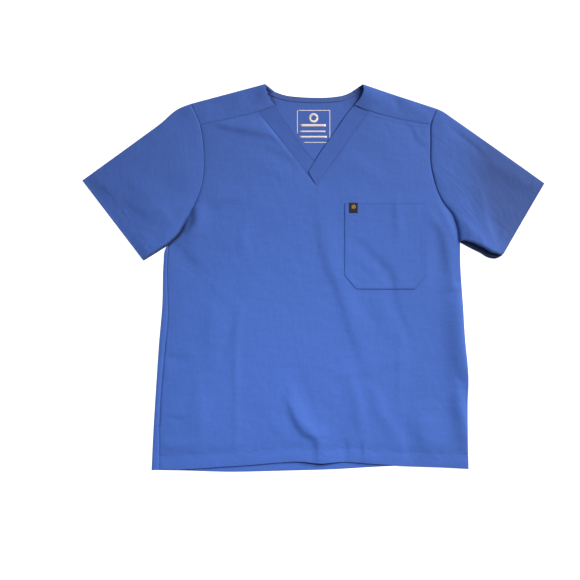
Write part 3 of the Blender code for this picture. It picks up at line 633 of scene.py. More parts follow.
def sheet_of(name, rows, grain=None, closed=False, missing=None, thickness=CLOTH, made_of=cloth,
             dark=None):
    """A cloth wall: a grid laid through rows of points, its grain as a UV map, and the shade painted on it.
    """
    height, width = rows.shape[:2]
    mesh = bmesh.new()
    laid = mesh.loops.layers.uv.new("grain")
    shade = mesh.verts.layers.float.new("shaded")
    bmesh.ops.create_grid(mesh, x_segments=width - 1, y_segments=height - 1, size=1)
    mesh.verts.index_update()
    places = rows.reshape(-1, 3)
    flat = (tube_grain(rows) if grain is None else grain).reshape(-1, 2)
    darkness = np.zeros(len(places)) if dark is None else dark.ravel()
    for vertex in mesh.verts:
        vertex.co = places[vertex.index]
        vertex[shade] = darkness[vertex.index]
    gone = []
    for face in mesh.faces:
        for loop in face.loops:
            loop[laid].uv = flat[loop.vert.index]
        corner = min(vertex.index for vertex in face.verts)
        if missing is not None and missing(corner // width, corner % width):
            gone.append(face)
    bmesh.ops.delete(mesh, geom=gone, context="FACES")
    if closed:
        bmesh.ops.remove_doubles(mesh, verts=mesh.verts, dist=1e-6)
    bmesh.ops.recalc_face_normals(mesh, faces=mesh.faces)
    mesh.normal_update()
    # painted shade on faces that turn sideways or down, such as the sides of folded edges
    for vertex in mesh.verts:
        vertex[shade] = max(vertex[shade], EDGE_PAINTED_SHADE * bell(vertex.normal.z, EDGE_TURN))
    piece = placed(name, mesh, made_of)
    wall = piece.modifiers.new("wall", "SOLIDIFY")
    wall.thickness = thickness
    wall.offset = 0.0
    return piece


THREAD, STITCH, STITCH_PITCH = 0.0004, 0.0024, 0.0029     # thickness, length and pitch of stitches
STITCH_LIFT, STITCH_STEP = 0.00008, 0.003      # their lift over the cloth, and the step of their line
STITCH_BEARING = 0.2       # a stitch takes its direction from this share of its pitch to either side
THREAD_DEEP, THREAD_LIGHT = (0.047, 0.108, 0.395, 1.0), (0.070, 0.150, 0.500, 1.0)
THREAD_CLOUDS = 700        # to a metre
thread, thread_start, link_thread = finish("thread", 0.6)
thread_grain = thread_start.node("ShaderNodeTexCoord", output=3).clouds(THREAD_CLOUDS, THREAD_CLOUDS, 1)
link_thread("Base Color", thread_grain.blend(THREAD_DEEP, THREAD_LIGHT))


def sew(name, *lines, pitch=STITCH_PITCH, long=STITCH, made_of=thread):
    """Rows of stitches along lines of points (x, y, z), each a short thread on its line."""
    mesh = bmesh.new()
    for line in lines:
        count = max(1, int(lengths(line)[-1] / pitch))
        places, bearing = (np.arange(count) + 0.5) / count, STITCH_BEARING / count
        for before, after in zip(at(line, places - bearing), at(line, places + bearing)):
            turn = Vector(after - before).to_track_quat("X", "Z").to_matrix().to_4x4()
            bmesh.ops.create_uvsphere(
                mesh, u_segments=6, v_segments=4, radius=1,
                matrix=Matrix.Translation((before + after) / 2) @ turn
                @ Matrix.Diagonal((long / 2, THREAD / 2, THREAD / 2, 1)))
    piece = placed(name, mesh, made_of)
    return piece


def aside(curve, distance):
    """A curve in the plane moved to its left by a distance."""
    along = unit(np.gradient(curve, axis=0))
    return curve + np.stack((-along[:, 1], along[:, 0]), axis=-1) * distance


def on(surface, curve):
    """A line of points on top of a piece, over a curve of the plane."""
    line = evenly(curve, STITCH_STEP, least=8)
    return raised(line, surface(line) + CLOTH / 2 + STITCH_LIFT)


def dress(node):
    """Hides the node of model.glb that a cloth piece stands in for."""
    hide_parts(node)


def panel_armhole(side, tip, junction, route):
    """An armhole seam as dense curves: its yoke part and its panel part."""
    whole = smooth(tip, junction, *route, UNDERARM[side])
    split = np.linalg.norm(whole - np.array(junction) / 1000, axis=1).argmin()
    return whole[:split + 1], whole[split:]


def body_fold(side, edge, start):
    """The body's folded edge from the underarm to the hem corner, where its roll begins."""
    x, y = UNDERARM[side]
    outer = smooth((x + side * ROLL * 1000, y), *edge, HEM_CORNER[side]) - (side * ROLL, 0)
    return np.vstack((start, outer[1:]))


def down_to_hem(curve, places):
    """Points down a side in two stretches: to the hem's stitching, and from there to its edge."""
    whole = lengths(curve)[-1]
    return at(less(curve, end=HEM), places), at(less(curve, start=whole - HEM), HEM_PLACES)


def below_line(points, line, depth):
    """How far below a line points lie, 0 at it and 1 from a depth on."""
    flat = points.reshape(-1, 2)
    below = np.zeros(len(flat))
    found, gap, _ = beside(flat, line, HEM + 2 * depth)
    below[found] = np.clip(-gap / depth, 0, 1)
    return below.reshape(points.shape[:-1])


HEM_REACH, STEP_SOFT = 0.030, 0.0004           # reach of what a hem adds, and softness of its step
STITCH_DIP, STITCH_DIP_WIDTH = 0.7, 0.0012     # depth as a share of the step, and half width
PUCKER, PUCKER_WIDTH = (12.6, 0.0065, 0.0005), 0.010   # seed, size and height; half width of their band


def hem_relief(points, stitching, step=HEM_STEP, rise=0.0, sunk=0.0):
    """What a hem adds: its step, its stitching's narrow and broad dips, puckers, a rise to its edge."""
    flat = points.reshape(-1, 2)
    added = np.zeros(len(flat))
    found, gap, _ = beside(flat, stitching, HEM_REACH)
    pucker = waves(flat[found], *PUCKER)
    below = np.clip(-gap / HEM, 0, 1)
    added[found] = (step * (drop_off(gap, 0, STEP_SOFT) - STITCH_DIP * bell(gap, STITCH_DIP_WIDTH))
                    + (pucker - sunk) * bell(gap, PUCKER_WIDTH) + rise * below**1.5)
    return added.reshape(points.shape[:-1])


YOKE_DIP = (0.0005, 0.0012, 0.0)        # a seam's dip: its depth, half width and allowance's step
V_DIP = (0.0002, 0.0010, 0.0002)
ARM_DIP = {LEFT: (0.0007, 0.0012, 0.0), RIGHT: (0.0009, 0.0014, 0.0)}
UNDERARM_DIP = (0.0026, 0.0024, 0.0)
SIDE_DIP = (0.0006, 0.0012, 0.0)
POCKET_SLIT, SLIT_DIP = (0.43, 0.80), (0.0016, 0.0017, 0.0)    # its places on the side seam, its dip
HEM_RISE, HEM_SUNK = 0.0002, 0.0009     # the front hem's rise to its edge, and dip at its stitching
HEM_STACK, STACK_EASE = 0.0002, 0.004   # its lift by the layers under it, and width of that step
FRONT_CRUMPLE = 0.0005
STITCH_BELOW = 0.0008                   # its stitches' distance from the edge of the turned-up part
HEM_PLACES = steps(HEM, FRONT_CELL, start=True, end=True)
arm = {side: panel_armhole(side, SHOULDER_TIP[side], YOKE_ARM[side], ARMHOLE[side]) for side in SIDES}
front_arm = {side: less(arm[side][1], end=ROLL) for side in SIDES}
yoke_seam = {side: smooth(YOKE_ARM[side], *YOKE_SEAM[side], YOKE_BAND[side]) for side in SIDES}
v_seam = {side: smooth(YOKE_BAND[side], V_MIDDLE[side], V_POINT) for side in SIDES}
left_seam = smooth(front_arm[LEFT][-1] * 1000, *LEFT_SEAM)
right_fold = body_fold(RIGHT, RIGHT_EDGE, front_arm[RIGHT][-1])


def yoke_to_v(side):
    """Points along the front's top on one side, from the armhole to the point of the V."""
    return joined(at(yoke_seam[side], steps(YOKE_LENGTH, FRONT_CELL, start=True)),
                  at(v_seam[side], steps(V_LENGTH, FRONT_CELL)))


arm_places = steps(ARM_LENGTH, FRONT_CELL, start=True)
side_places = steps(SIDE_LENGTH, FRONT_CELL, start=True, end=True)
front_top = joined(yoke_to_v(LEFT), yoke_to_v(RIGHT)[::-1])
front_sides = [down_to_hem(curve, side_places) for curve in (left_seam, right_fold)]
front_hem = smooth(left_seam[-1] * 1000, *FRONT_HEM, right_fold[-1] * 1000)
front_plan = hemmed_plan(front_top, front_hem,
                         *[(joined(at(front_arm[side], arm_places), above), below)
                           for side, (above, below) in zip(SIDES, front_sides)])
front_stitching = front_plan[-len(HEM_PLACES)]
rim = joined(front_top[::6], front_plan[::6, -1], front_plan[-1, ::-6], front_plan[::-6, 0])
front_seams = ([(yoke_seam[side], *YOKE_DIP) for side in SIDES] + [(v_seam[side], *V_DIP) for side in SIDES]
               + [(arm[side][1], *ARM_DIP[side]) for side in SIDES] + [(left_seam, *SIDE_DIP)]
               + [(arm[LEFT][1][-len(arm[LEFT][1]) // 3:], *UNDERARM_DIP),
                  (at(left_seam, np.linspace(*POCKET_SLIT, 24)), *SLIT_DIP)])


def front_surface(points, puffed=True):
    """Heights of the front's middle; its hem is thicker and a little puckered."""
    height = lie(points, rim=rim if puffed else None, creases=FRONT_CREASES, seams=front_seams,
                 crumple=FRONT_CRUMPLE)
    lowest = LOWEST + HEM_STACK * below_line(points, front_stitching, STACK_EASE)
    return np.maximum(height + hem_relief(points, front_stitching, rise=HEM_RISE, sunk=HEM_SUNK), lowest)


start = len(arm_places) - 1
main = drawn_back(raised(front_plan, front_surface(front_plan)), "top", "left")
wide = turned(main, RIGHT, start, low, front_plan[start:, -1] - (SIDE_TURN - SEAM, 0))
first_turned = main.shape[1] - 1
hem_start = len(wide) - 1
rows = hemmed(wide, len(HEM_PLACES))
# shades in the gap of the left armhole, and in the tuck beside it: strengths, half width and line
ARM_GAP = (((0.0, 0.6), 0.0016, at(arm[LEFT][1], np.linspace(0.52, 0.74, 16))),
           ((0.6, 1.0, 1.0, 0.95), 0.0034, at(arm[LEFT][1], np.linspace(0.74, 1.0, 24))))
TUCK_SHADE = ((0.0, 0.36, 0.40, 0.28), 0.0060,
              smooth((-229.5, 137.0), (-227.4, 119.0), (-231.2, 103.0), (-241.0, 87.0)))
front = sheet_of("front_cloth", rows, grain_over(rows, last=first_turned, hem=hem_start),
                 missing=lambda row, column: row < start and column >= first_turned,
                 dark=shaded(rows, *ARM_GAP, TUCK_SHADE))
front_hem_seam = sew("front_hem_stitches", on(front_surface, front_stitching - (0, STITCH_BELOW)))
dress("front")


# ---- Back ----------------------------------------------------------------------------------------
# One piece from armhole to armhole, flat on what it lies on. Down the left it folds up over the edge
# to the side seam, which lies on the front. The in-seam pocket opens between its two bar tacks.
BACK_CELL = 0.0055
BACK_YOKE_LENGTH, BACK_NECK_LENGTH, BACK_ARM_LENGTH = 0.157, 0.152, 0.245
BACK_HEM_GAP = 0.00065     # from the back's face to the turned-up part of its hem
BACK_YOKE_ARM = {LEFT: (-224.0, 304.8), RIGHT: (230.0, 302.0)}
BACK_YOKE_NECK = {LEFT: (-75.0, 354.0), RIGHT: (76.0, 354.5)}
BACK_ARMHOLE = {
    LEFT: ((-218.0, 250.0), (-220.0, 200.0), (-229.0, 150.0), (-249.0, 100.0)),
    RIGHT: ((226.0, 250.0), (229.0, 200.0), (240.0, 150.0), (258.0, 100.0)),
}
BACK_NECK = ((-55.5, 347.1), (-27.5, 343.3), (-1.0, 342.0), (39.1, 343.3), (59.7, 347.1))
BACK_HEM = ((-253.1, -365.4), (-158.1, -368.0), (-63.1, -366.1), (50.9, -362.5), (107.9, -359.1),
            (164.9, -356.6), (221.9, -358.3))
LEFT_EDGE = ((-282.2, 50.0), (-283.9, 30.0), (-286.5, -54.0), (-292.3, -122.0), (-298.5, -213.4),
             (-303.2, -290.0))
POCKET_TACKS = ((-0.2795, -0.1215), (-0.2915, -0.2800))
TACK_SIZE, TACK_STITCHES, TACK_LIFT = (0.007, 0.0024), 11, 0.0001
back_arm = {side: panel_armhole(side, SHOULDER_TIP[side], BACK_YOKE_ARM[side], BACK_ARMHOLE[side])
            for side in SIDES}
back_yoke_seam = {side: smooth(BACK_YOKE_ARM[side], BACK_YOKE_NECK[side]) for side in SIDES}
left_fold = body_fold(LEFT, LEFT_EDGE, less(back_arm[LEFT][1], end=ROLL)[-1])
under_seam = right_fold - (SIDE_TURN + SEAM, 0)
back_neck = smooth(BACK_YOKE_NECK[LEFT], *BACK_NECK, BACK_YOKE_NECK[RIGHT])
back_yoke_places = steps(BACK_YOKE_LENGTH, BACK_CELL, start=True)
back_top = joined(at(back_yoke_seam[LEFT], back_yoke_places),
                  at(back_neck, steps(BACK_NECK_LENGTH, BACK_CELL)),
                  at(back_yoke_seam[RIGHT], back_yoke_places)[::-1])
arm_places = steps(BACK_ARM_LENGTH, BACK_CELL, start=True)
side_places = steps(SIDE_LENGTH, BACK_CELL, start=True, end=True)
back_arms = [at(less(back_arm[LEFT][1], end=ROLL), arm_places),
             at(np.vstack((less(back_arm[RIGHT][1], end=ROLL)[:-1], under_seam[0])), arm_places)]
back_sides = [down_to_hem(curve, side_places) for curve in (left_fold, under_seam)]
back_hem = smooth(left_fold[-1] * 1000, *BACK_HEM, under_seam[-1] * 1000)
back_plan = hemmed_plan(back_top, back_hem, *[(joined(edge, above), below)
                                              for edge, (above, below) in zip(back_arms, back_sides)])
back_stitching = back_plan[-len(HEM_PLACES)]


def side_surface(points):
    """Heights of the upper layer's middle beside the left side seam."""
    return front_surface(points, puffed=False)


def turned_up(points):
    """Points of the back's turned-up strip, which lies at the front's heights."""
    return raised(points, side_surface(points))


def tack(name, place):
    """A bar tack: short upright stitches side by side, at a place (x, y) on the side seam."""
    half = (0, TACK_SIZE[1] / 2)
    middles = [np.add(place, (TACK_SIZE[0] * along, 0)) for along in np.linspace(-0.5, 0.5, TACK_STITCHES)]
    lines = [np.array((middle - half, middle + half)) for middle in middles]
    return sew(name, *[raised(line, side_surface(line) + CLOTH / 2 + TACK_LIFT) for line in lines],
               pitch=TACK_SIZE[1], long=TACK_SIZE[1])


start = len(arm_places) - 1
main = drawn_back(low(back_plan), "top", "left", "right")
seam_points = joined(*down_to_hem(left_seam, side_places)) - (SEAM, 0)
wide = turned(main, LEFT, start, turned_up, seam_points)
first_flat = ROLL_POINTS + BEYOND_POINTS
hem_start = len(wide) - 1
rows = hemmed(wide, len(HEM_PLACES), gap=BACK_HEM_GAP, up=True)
# shades inside the neck points, and in the gap below the front's lifted hem
NECK_SHADE = {
    LEFT: ((0.55, 0.65, 0.55), 0.0040,
           smooth((-88.0, 361.0), (-83.0, 350.0), (-78.0, 339.0), (-72.5, 328.0))),
    RIGHT: ((0.5, 0.3, 0.1), 0.0095,
            smooth((91.0, 362.0), (82.0, 350.0), (72.0, 336.0), (66.0, 322.0))),
}
HEM_GAP_SHADE = ((0.0, 0.8, 0.9, 0.6, 0.0), 0.0020,
                 smooth((-25.0, -351.0), (-5.0, -353.0), (14.0, -354.6), (28.0, -353.4), (42.0, -352.0)))
dark = shaded(rows, *NECK_SHADE.values())
dark[len(wide):] = shaded(rows[len(wide):], HEM_GAP_SHADE)
back = sheet_of("back_cloth", rows, grain_over(rows, first=first_flat, hem=hem_start), dark=dark,
                missing=lambda row, column: row < start and column < first_flat)
back_hem_seam = sew("back_hem_stitches", raised(back_stitching, LOW - CLOTH / 2))
tacks = [tack(f"pocket_tack_{index}", place) for index, place in enumerate(POCKET_TACKS)]
dress("back")


# ---- Back neck facing ----------------------------------------------------------------------------
# A narrow strip of the same cloth, sewn along the back neck edge and turned down inside it.
FACING_END = {LEFT: (-82.0, 357.0), RIGHT: (82.5, 357.0)}
FACING_CLOTH, FACING_POINTS = 0.0004, 64
FACING_STITCHING, FACING_STITCH_LIFT = 0.0085, 0.00080     # in from the edge, and over the back
FACING_RISES = ((0.0002, 0.00040), (0.0009, 0.00062), (0.0020, 0.00068), (0.0050, 0.00064),
                (FACING_STITCHING, 0.00066), (0.0100, 0.00058))    # in from the edge, over the back
FACING_DEEP, FACING_LIGHT = (0.058, 0.122, 0.400, 1.0), (0.069, 0.145, 0.470, 1.0)
facing_cloth = woven("facing_cloth", FACING_DEEP, FACING_LIGHT, THREAD_PITCH)
facing_edge = at(smooth(FACING_END[LEFT], BACK_YOKE_NECK[LEFT], *BACK_NECK, BACK_YOKE_NECK[RIGHT],
                        FACING_END[RIGHT]), np.linspace(0, 1, FACING_POINTS))
rows = np.array([low(aside(facing_edge, -inset)) + (0, 0, rise) for inset, rise in FACING_RISES])
neck_edge_shade = ((0.4, 0.4), 0.0015, facing_edge)
facing = sheet_of("facing_cloth", rows, thickness=FACING_CLOTH, made_of=facing_cloth,
                  dark=shaded(rows, *NECK_SHADE.values(), neck_edge_shade))
facing_seam = sew("facing_stitches",
                  low(aside(facing_edge, -FACING_STITCHING)) + (0, 0, FACING_STITCH_LIFT))
dress("back_neck_facing")


# ---- Neck print ----------------------------------------------------------------------------------
# Size and care marks as a heat transfer inside the back neck: a thin white frame round a plain
# ring and three plain bars.
PRINT_WHITE = (0.80, 0.80, 0.82, 1.0)
PRINT_LIFT, PRINT_INK, PRINT_LINE, PRINT_STEP = 0.00008, 0.0001, 0.0014, 0.004
PRINT_FRAME = ((-30.2, 317.6), (31.4, 317.6), (31.4, 256.9), (-19.0, 256.9))
PRINT_FRAME_LEFT = ((-30.2, 317.6), (-30.2, 273.4))
# its bars' left and right ends, places in y, and widths; its ring's middle, and inner and outer radius
PRINT_BARS = ((-24.5, 24.0, 289.2, 4.6), (-25.5, 23.0, 277.8, 2.8), (-26.0, 26.0, 267.4, 3.6))
PRINT_RING, PRINT_RING_SIZE = (0.5, 303.2), (5.0, 9.5)
ink, _, _ = finish("neck_print_white", 0.6, colour=PRINT_WHITE)
print_mesh = bmesh.new()


def print_strip(line, width):
    """Lays a strip of ink along a line on the back's inner face."""
    line = evenly(line, PRINT_STEP, least=2)
    sides = np.array([aside(line, width / 2), aside(line, -width / 2)])
    places = low(sides) + (0, 0, CLOTH / 2 + PRINT_LIFT)
    made = bmesh.ops.create_grid(print_mesh, x_segments=len(line) - 1, y_segments=1, size=1)["verts"]
    for vertex, place in zip(made, places.reshape(-1, 3)):
        vertex.co = place


for ends in (*zip(PRINT_FRAME, PRINT_FRAME[1:]), PRINT_FRAME_LEFT):
    print_strip(smooth(*ends), PRINT_LINE)
for left, right, height, width in PRINT_BARS:
    print_strip(smooth((left, height), (right, height)), width / 1000)
turn = np.linspace(0, 2 * math.pi, 33)
ring = np.stack((np.cos(turn), np.sin(turn)), axis=1) * sum(PRINT_RING_SIZE) / 2 + PRINT_RING
print_strip(ring / 1000, (PRINT_RING_SIZE[1] - PRINT_RING_SIZE[0]) / 1000)
bmesh.ops.recalc_face_normals(print_mesh, faces=print_mesh.faces)
neck_print = placed("neck_print", print_mesh, ink)
neck_print.modifiers.new("ink", "SOLIDIFY").thickness = PRINT_INK


# ---- Shoulder yokes ------------------------------------------------------------------------------
# Each yoke is one piece folded over the shoulder: its front leg is topstitched to the front and the
# neck band, its back leg to the back. Near the neck point its edge stands a little open.
YOKE_CELL = 0.0033
BAND_TOP_LENGTH, YOKE_DOWN, YOKE_BACK_DOWN = 0.034, 0.042, 0.022
YOKE_LIFT = 0.00025
YOKE_LAP = (0.0004, 0.0008, 0.0008)      # rise of its back leg where it laps over the back
YOKE_OVERLAP = 0.0010                    # and how far it laps
YOKE_TURN, YOKE_TURN_GAP = 6, 0.0007     # points of its neck edge that are turned in, and their gap
YOKE_PROBE = 5                           # a row of its front leg
BAND_TOP_DIP = (0.00015, 0.0012, 0.0)
TOPSTITCHING = (0.0018, 0.0068)          # distances from the seam
NECK_POINT = {LEFT: (-91.6, 367.4), RIGHT: (93.7, 366.5)}
YOKE_NECK = {LEFT: (-73.2, 326.8), RIGHT: (78.2, 327.2)}
YOKE_NECK_EDGE = {LEFT: ((-89.0, 352.8), (-81.5, 335.7)), RIGHT: ((95.5, 355.5), (90.0, 341.0))}
NECK_OPENING = {LEFT: (0.0030, 0.016), RIGHT: (0.0070, 0.026)}    # height and reach
YOKE_CREASES = (        # given as the front's are
    # left yoke: hollows in its middle, near the neck and along the shoulder
    (-1.6, 24, 18, ((-204, 316), (-173, 320), (-147, 316))),
    (-1.0, 17, 18, ((-135, 346), (-116, 337), (-102, 325))),
    (-0.9, 11, 15, ((-203, 324), (-168, 330), (-138, 335))),
    # right yoke: a swell near the neck, a hollow in the middle, and a swell down to the armhole
    (1.8, 20, 12, ((103, 349), (120, 344), (142, 344))),
    (-1.1, 7, 7, ((154, 346), (158, 331), (162, 315))),
    (1.2, 11, 10, ((165, 342), (182, 329), (204, 313))),
)
band_top = {side: smooth(YOKE_BAND[side], YOKE_NECK[side]) for side in SIDES}


def side_hemmed(rows, count, gap, probe=None):
    """Rows with a hem along their last column, as `hemmed` gives their last row one."""
    return hemmed(rows.swapaxes(0, 1), count, gap, probe).swapaxes(0, 1)


for side, name in SIDES.items():
    seam = joined(at(yoke_seam[side], steps(YOKE_LENGTH, YOKE_CELL, start=True)),
                  at(band_top[side], steps(BAND_TOP_LENGTH, YOKE_CELL, end=True)))
    across = share(seam)
    neck_edge = less(smooth(NECK_POINT[side], *YOKE_NECK_EDGE[side], YOKE_NECK[side]), start=ROLL)
    back_neck_edge = less(smooth(NECK_POINT[side], BACK_YOKE_NECK[side]), start=ROLL)
    front_end, back_end = less(arm[side][0], start=ROLL), less(back_arm[side][0], start=ROLL)
    down = steps(YOKE_DOWN, YOKE_CELL, end=True)
    shoulder = at(smooth(SHOULDER_TIP[side], NECK_POINT[side]), across)
    leg_plan = fill(at(np.array((front_end[0], neck_edge[0])), across), seam,
                    at(front_end, down), at(neck_edge, down))
    back_down = steps(YOKE_BACK_DOWN, YOKE_CELL, end=True)
    back_plan_of_yoke = fill(at(np.array((back_end[0], back_neck_edge[0])), across),
                             at(np.array((back_end[-1], back_neck_edge[-1])), across),
                             at(back_end, back_down), at(back_neck_edge, back_down))
    yoke_rim = joined(leg_plan[0, ::5], leg_plan[::5, -1], leg_plan[-1, ::-5], leg_plan[::-5, 0])
    open_height, open_reach = NECK_OPENING[side]

    def yoke_surface(points):
        """Heights of the yoke's front leg, which stands open towards the neck point."""
        height = lie(points, lift=YOKE_LIFT, rim=yoke_rim, creases=YOKE_CREASES, seed=4.2,
                     seams=[(yoke_seam[side], *YOKE_DIP), (band_top[side], *BAND_TOP_DIP),
                            (arm[side][0], *ARM_DIP[side])])
        away = np.linalg.norm(points - neck_edge[len(neck_edge) // 4], axis=-1)
        return height + open_height * bell(away, open_reach)

    leg = drawn_back(raised(leg_plan, yoke_surface(leg_plan)), "bottom", "left")
    back_leg = drawn_back(low(back_plan_of_yoke), "left")
    back_leg[-3:, :, 2] += np.array(YOKE_LAP)[:, None]
    back_leg = drawn_back(back_leg, "bottom", amount=-YOKE_OVERLAP)
    folds = np.array([rolled(*ends) for ends in zip(leg[0], back_leg[0], shoulder)])
    rows = np.concatenate((leg[::-1], folds.transpose(1, 0, 2), back_leg))
    rows = side_hemmed(rows, YOKE_TURN, YOKE_TURN_GAP, YOKE_PROBE)
    dark = shaded(rows, NECK_SHADE[side])
    dark[:len(leg)] = 0
    yoke = sheet_of(f"yoke_{name}_cloth", rows, dark=dark)
    yoke_stitches = sew(f"yoke_{name}_stitches",
                        *[on(yoke_surface, aside(seam, side * gap)[2:-2]) for gap in TOPSTITCHING])
    dress(f"yoke_{name}")


# ---- Neck bands ----------------------------------------------------------------------------------
# A folded band runs down each side of the V. The right one laps over the left one above the point,
# and both are sewn to the front there.
BAND_CELL = 0.0034
BAND_WIDTH, BAND_LENGTH = 0.032, 0.185
BAND_LIFT, BAND_CRUMPLE = {LEFT: -0.0004, RIGHT: 0.0}, 0.0001
BAND_TURN, BAND_TURN_GAP = 7, 0.0008     # points of its inner edge that are turned in, and their gap
BAND_STITCH_END = {LEFT: 0.012, RIGHT: 0.004}      # its stitching ends this far from the point
BAND_DEEP, BAND_LIGHT = (0.048, 0.119, 0.445, 1.0), (0.058, 0.142, 0.525, 1.0)
band_cloth = woven("band_cloth", BAND_DEEP, BAND_LIGHT, THREAD_PITCH)
BAND_END = {LEFT: (22.4, 197.0), RIGHT: (-8.9, 200.8)}
BAND_INNER = {LEFT: ((-46.0, 286.3), (-17.5, 244.5), (2.5, 221.7)),
              RIGHT: ((63.1, 309.1), (45.8, 283.3), (11.0, 233.1))}
BAND_EDGE_SHADE, BAND_EDGE_WIDTH = {LEFT: (0.2, 0.4, 0.4), RIGHT: (0.0, 0.0)}, 0.0016
DIP_START, DIP_END, BAND_DIP = 0.018, 0.004, 0.0013    # where the left band dips, and how far

for side, name in SIDES.items():
    across = steps(BAND_WIDTH, BAND_CELL, start=True, end=True)
    down = steps(BAND_LENGTH, BAND_CELL, start=True, end=True)
    inner = smooth(YOKE_NECK[side], *BAND_INNER[side], BAND_END[side])
    band_end = smooth(V_POINT, BAND_END[side])
    plan = fill(at(band_top[side], across), at(band_end, across), at(v_seam[side], down), at(inner, down))

    def band_surface(points):
        """Heights of a neck band; the left one dips under the right one."""
        height = lie(points, lift=BAND_LIFT[side], seed=7.3, crumple=BAND_CRUMPLE,
                     seams=[(band_top[side], *BAND_TOP_DIP)])
        if side == LEFT:
            upper, lower = np.array((YOKE_NECK[RIGHT], BAND_END[RIGHT])) / 1000
            along = unit(lower - upper)
            past = (points - upper) @ np.array((-along[1], along[0]))
            under = np.clip((past + DIP_START) / (DIP_START - DIP_END), 0, 1)
            height = height - BAND_DIP * under * under * (3 - 2 * under)
        return height

    rows = drawn_back(raised(plan, band_surface(plan)), "top", "left")
    rows = side_hemmed(rows, BAND_TURN, BAND_TURN_GAP)
    band = sheet_of(f"band_{name}_cloth", rows, made_of=band_cloth,
                    dark=shaded(rows, (BAND_EDGE_SHADE[side], BAND_EDGE_WIDTH, inner)))
    line = less(aside(v_seam[side], -side * TOPSTITCHING[0]), end=BAND_STITCH_END[side])
    band_stitches = sew(f"band_{name}_stitches", on(band_surface, line))
    dress(f"neck_band_{name}")


# ---- Sleeves -------------------------------------------------------------------------------------
# Each sleeve is an open tube pressed flat, set into the armhole and hemmed at the cuff. Its lower
# edge rolls down from a raised fold, far more on the right than on the left.
SLEEVE_CELL, UNDER_CELL = 0.0042, 0.007
SLEEVE_LENGTH, UNDER_ARM_LENGTH = 0.160, 0.250
CUFF_TOP = {LEFT: (-437.75, 184.7), RIGHT: (437.75, 179.4)}
CUFF_LOW = {LEFT: (-321.6, 32.7), RIGHT: (357.8, 42.0)}
SLEEVE_LOW = {LEFT: ((-299.0, 46.5),),
              RIGHT: ((297.9, 56.4), (316.9, 46.9), (332.1, 38.2), (348.0, 36.8))}
SLEEVE_TOP = {LEFT: ((-255.7, 320.5), (-290.1, 292.0), (-321.1, 269.2)),
              RIGHT: ((246.4, 314.8), (262.9, 303.4), (295.4, 280.6))}
LOWER_ROLL = {
    # place along the sleeve 0..1, reach of the roll in plan, extra height
    LEFT: ((0.00, ROLL, 0.0000), (0.08, 0.0042, 0.0042), (0.25, 0.0050, 0.0050), (0.70, 0.0048, 0.0050),
           (1.00, 0.0040, 0.0024)),
    RIGHT: ((0.00, ROLL, 0.0000), (0.04, 0.0080, 0.0045), (0.22, 0.0138, 0.0095), (0.50, 0.0148, 0.0120),
            (0.78, 0.0150, 0.0110), (0.92, 0.0085, 0.0080), (1.00, 0.0045, 0.0050)),
}
FOLD_SIDE = {
    # shares of the fold's reach outwards and of its height, from its crest down, and the strength of the
    # shade painted on it
    LEFT: ((0.06, 0.97, 0.0), (0.16, 0.88, 0.1), (0.30, 0.72, 0.3), (0.45, 0.55, 0.5), (0.60, 0.40, 0.7),
           (0.74, 0.27, 0.8), (0.87, 0.16, 0.8), (0.97, 0.08, 0.8), (0.96, 0.03, 0.8)),
    RIGHT: ((0.10, 0.97, 0.0), (0.20, 0.86, 0.1), (0.23, 0.68, 0.4), (0.17, 0.50, 0.75), (0.22, 0.34, 0.85),
            (0.45, 0.26, 0.85), (0.82, 0.20, 0.83), (1.00, 0.10, 0.80), (0.94, 0.03, 0.7)),
}
FULL_FOLD = 0.003          # extra height from which on the fold has its whole shape
FOLD_RISE = 4              # power by which that height comes in towards the lower edge
UNDERARM_CLEARANCE = 0.0010            # gap between the fold and the body at the underarm
PULLED = (1.0, 0.7, 0.4)   # shares by which the first rows are drawn back from the armhole
CUFF_STEP = 0.00006
SLEEVE_CRUMPLE = 0.0008
SLEEVE_LIFT = {LEFT: 0.0003, RIGHT: 0.0014}
SLEEVE_DIP = {LEFT: (0.0006, 0.0012, 0.0), RIGHT: (0.0016, 0.0014, 0.0)}
DEEP_DIP = {LEFT: (0.0022, 0.0022, 0.0), RIGHT: (0.0013, 0.0022, 0.0)}
DEEP_PART = {LEFT: (0.72, 1.0), RIGHT: (0.10, 0.52)}      # of the armhole, where its dip is deeper
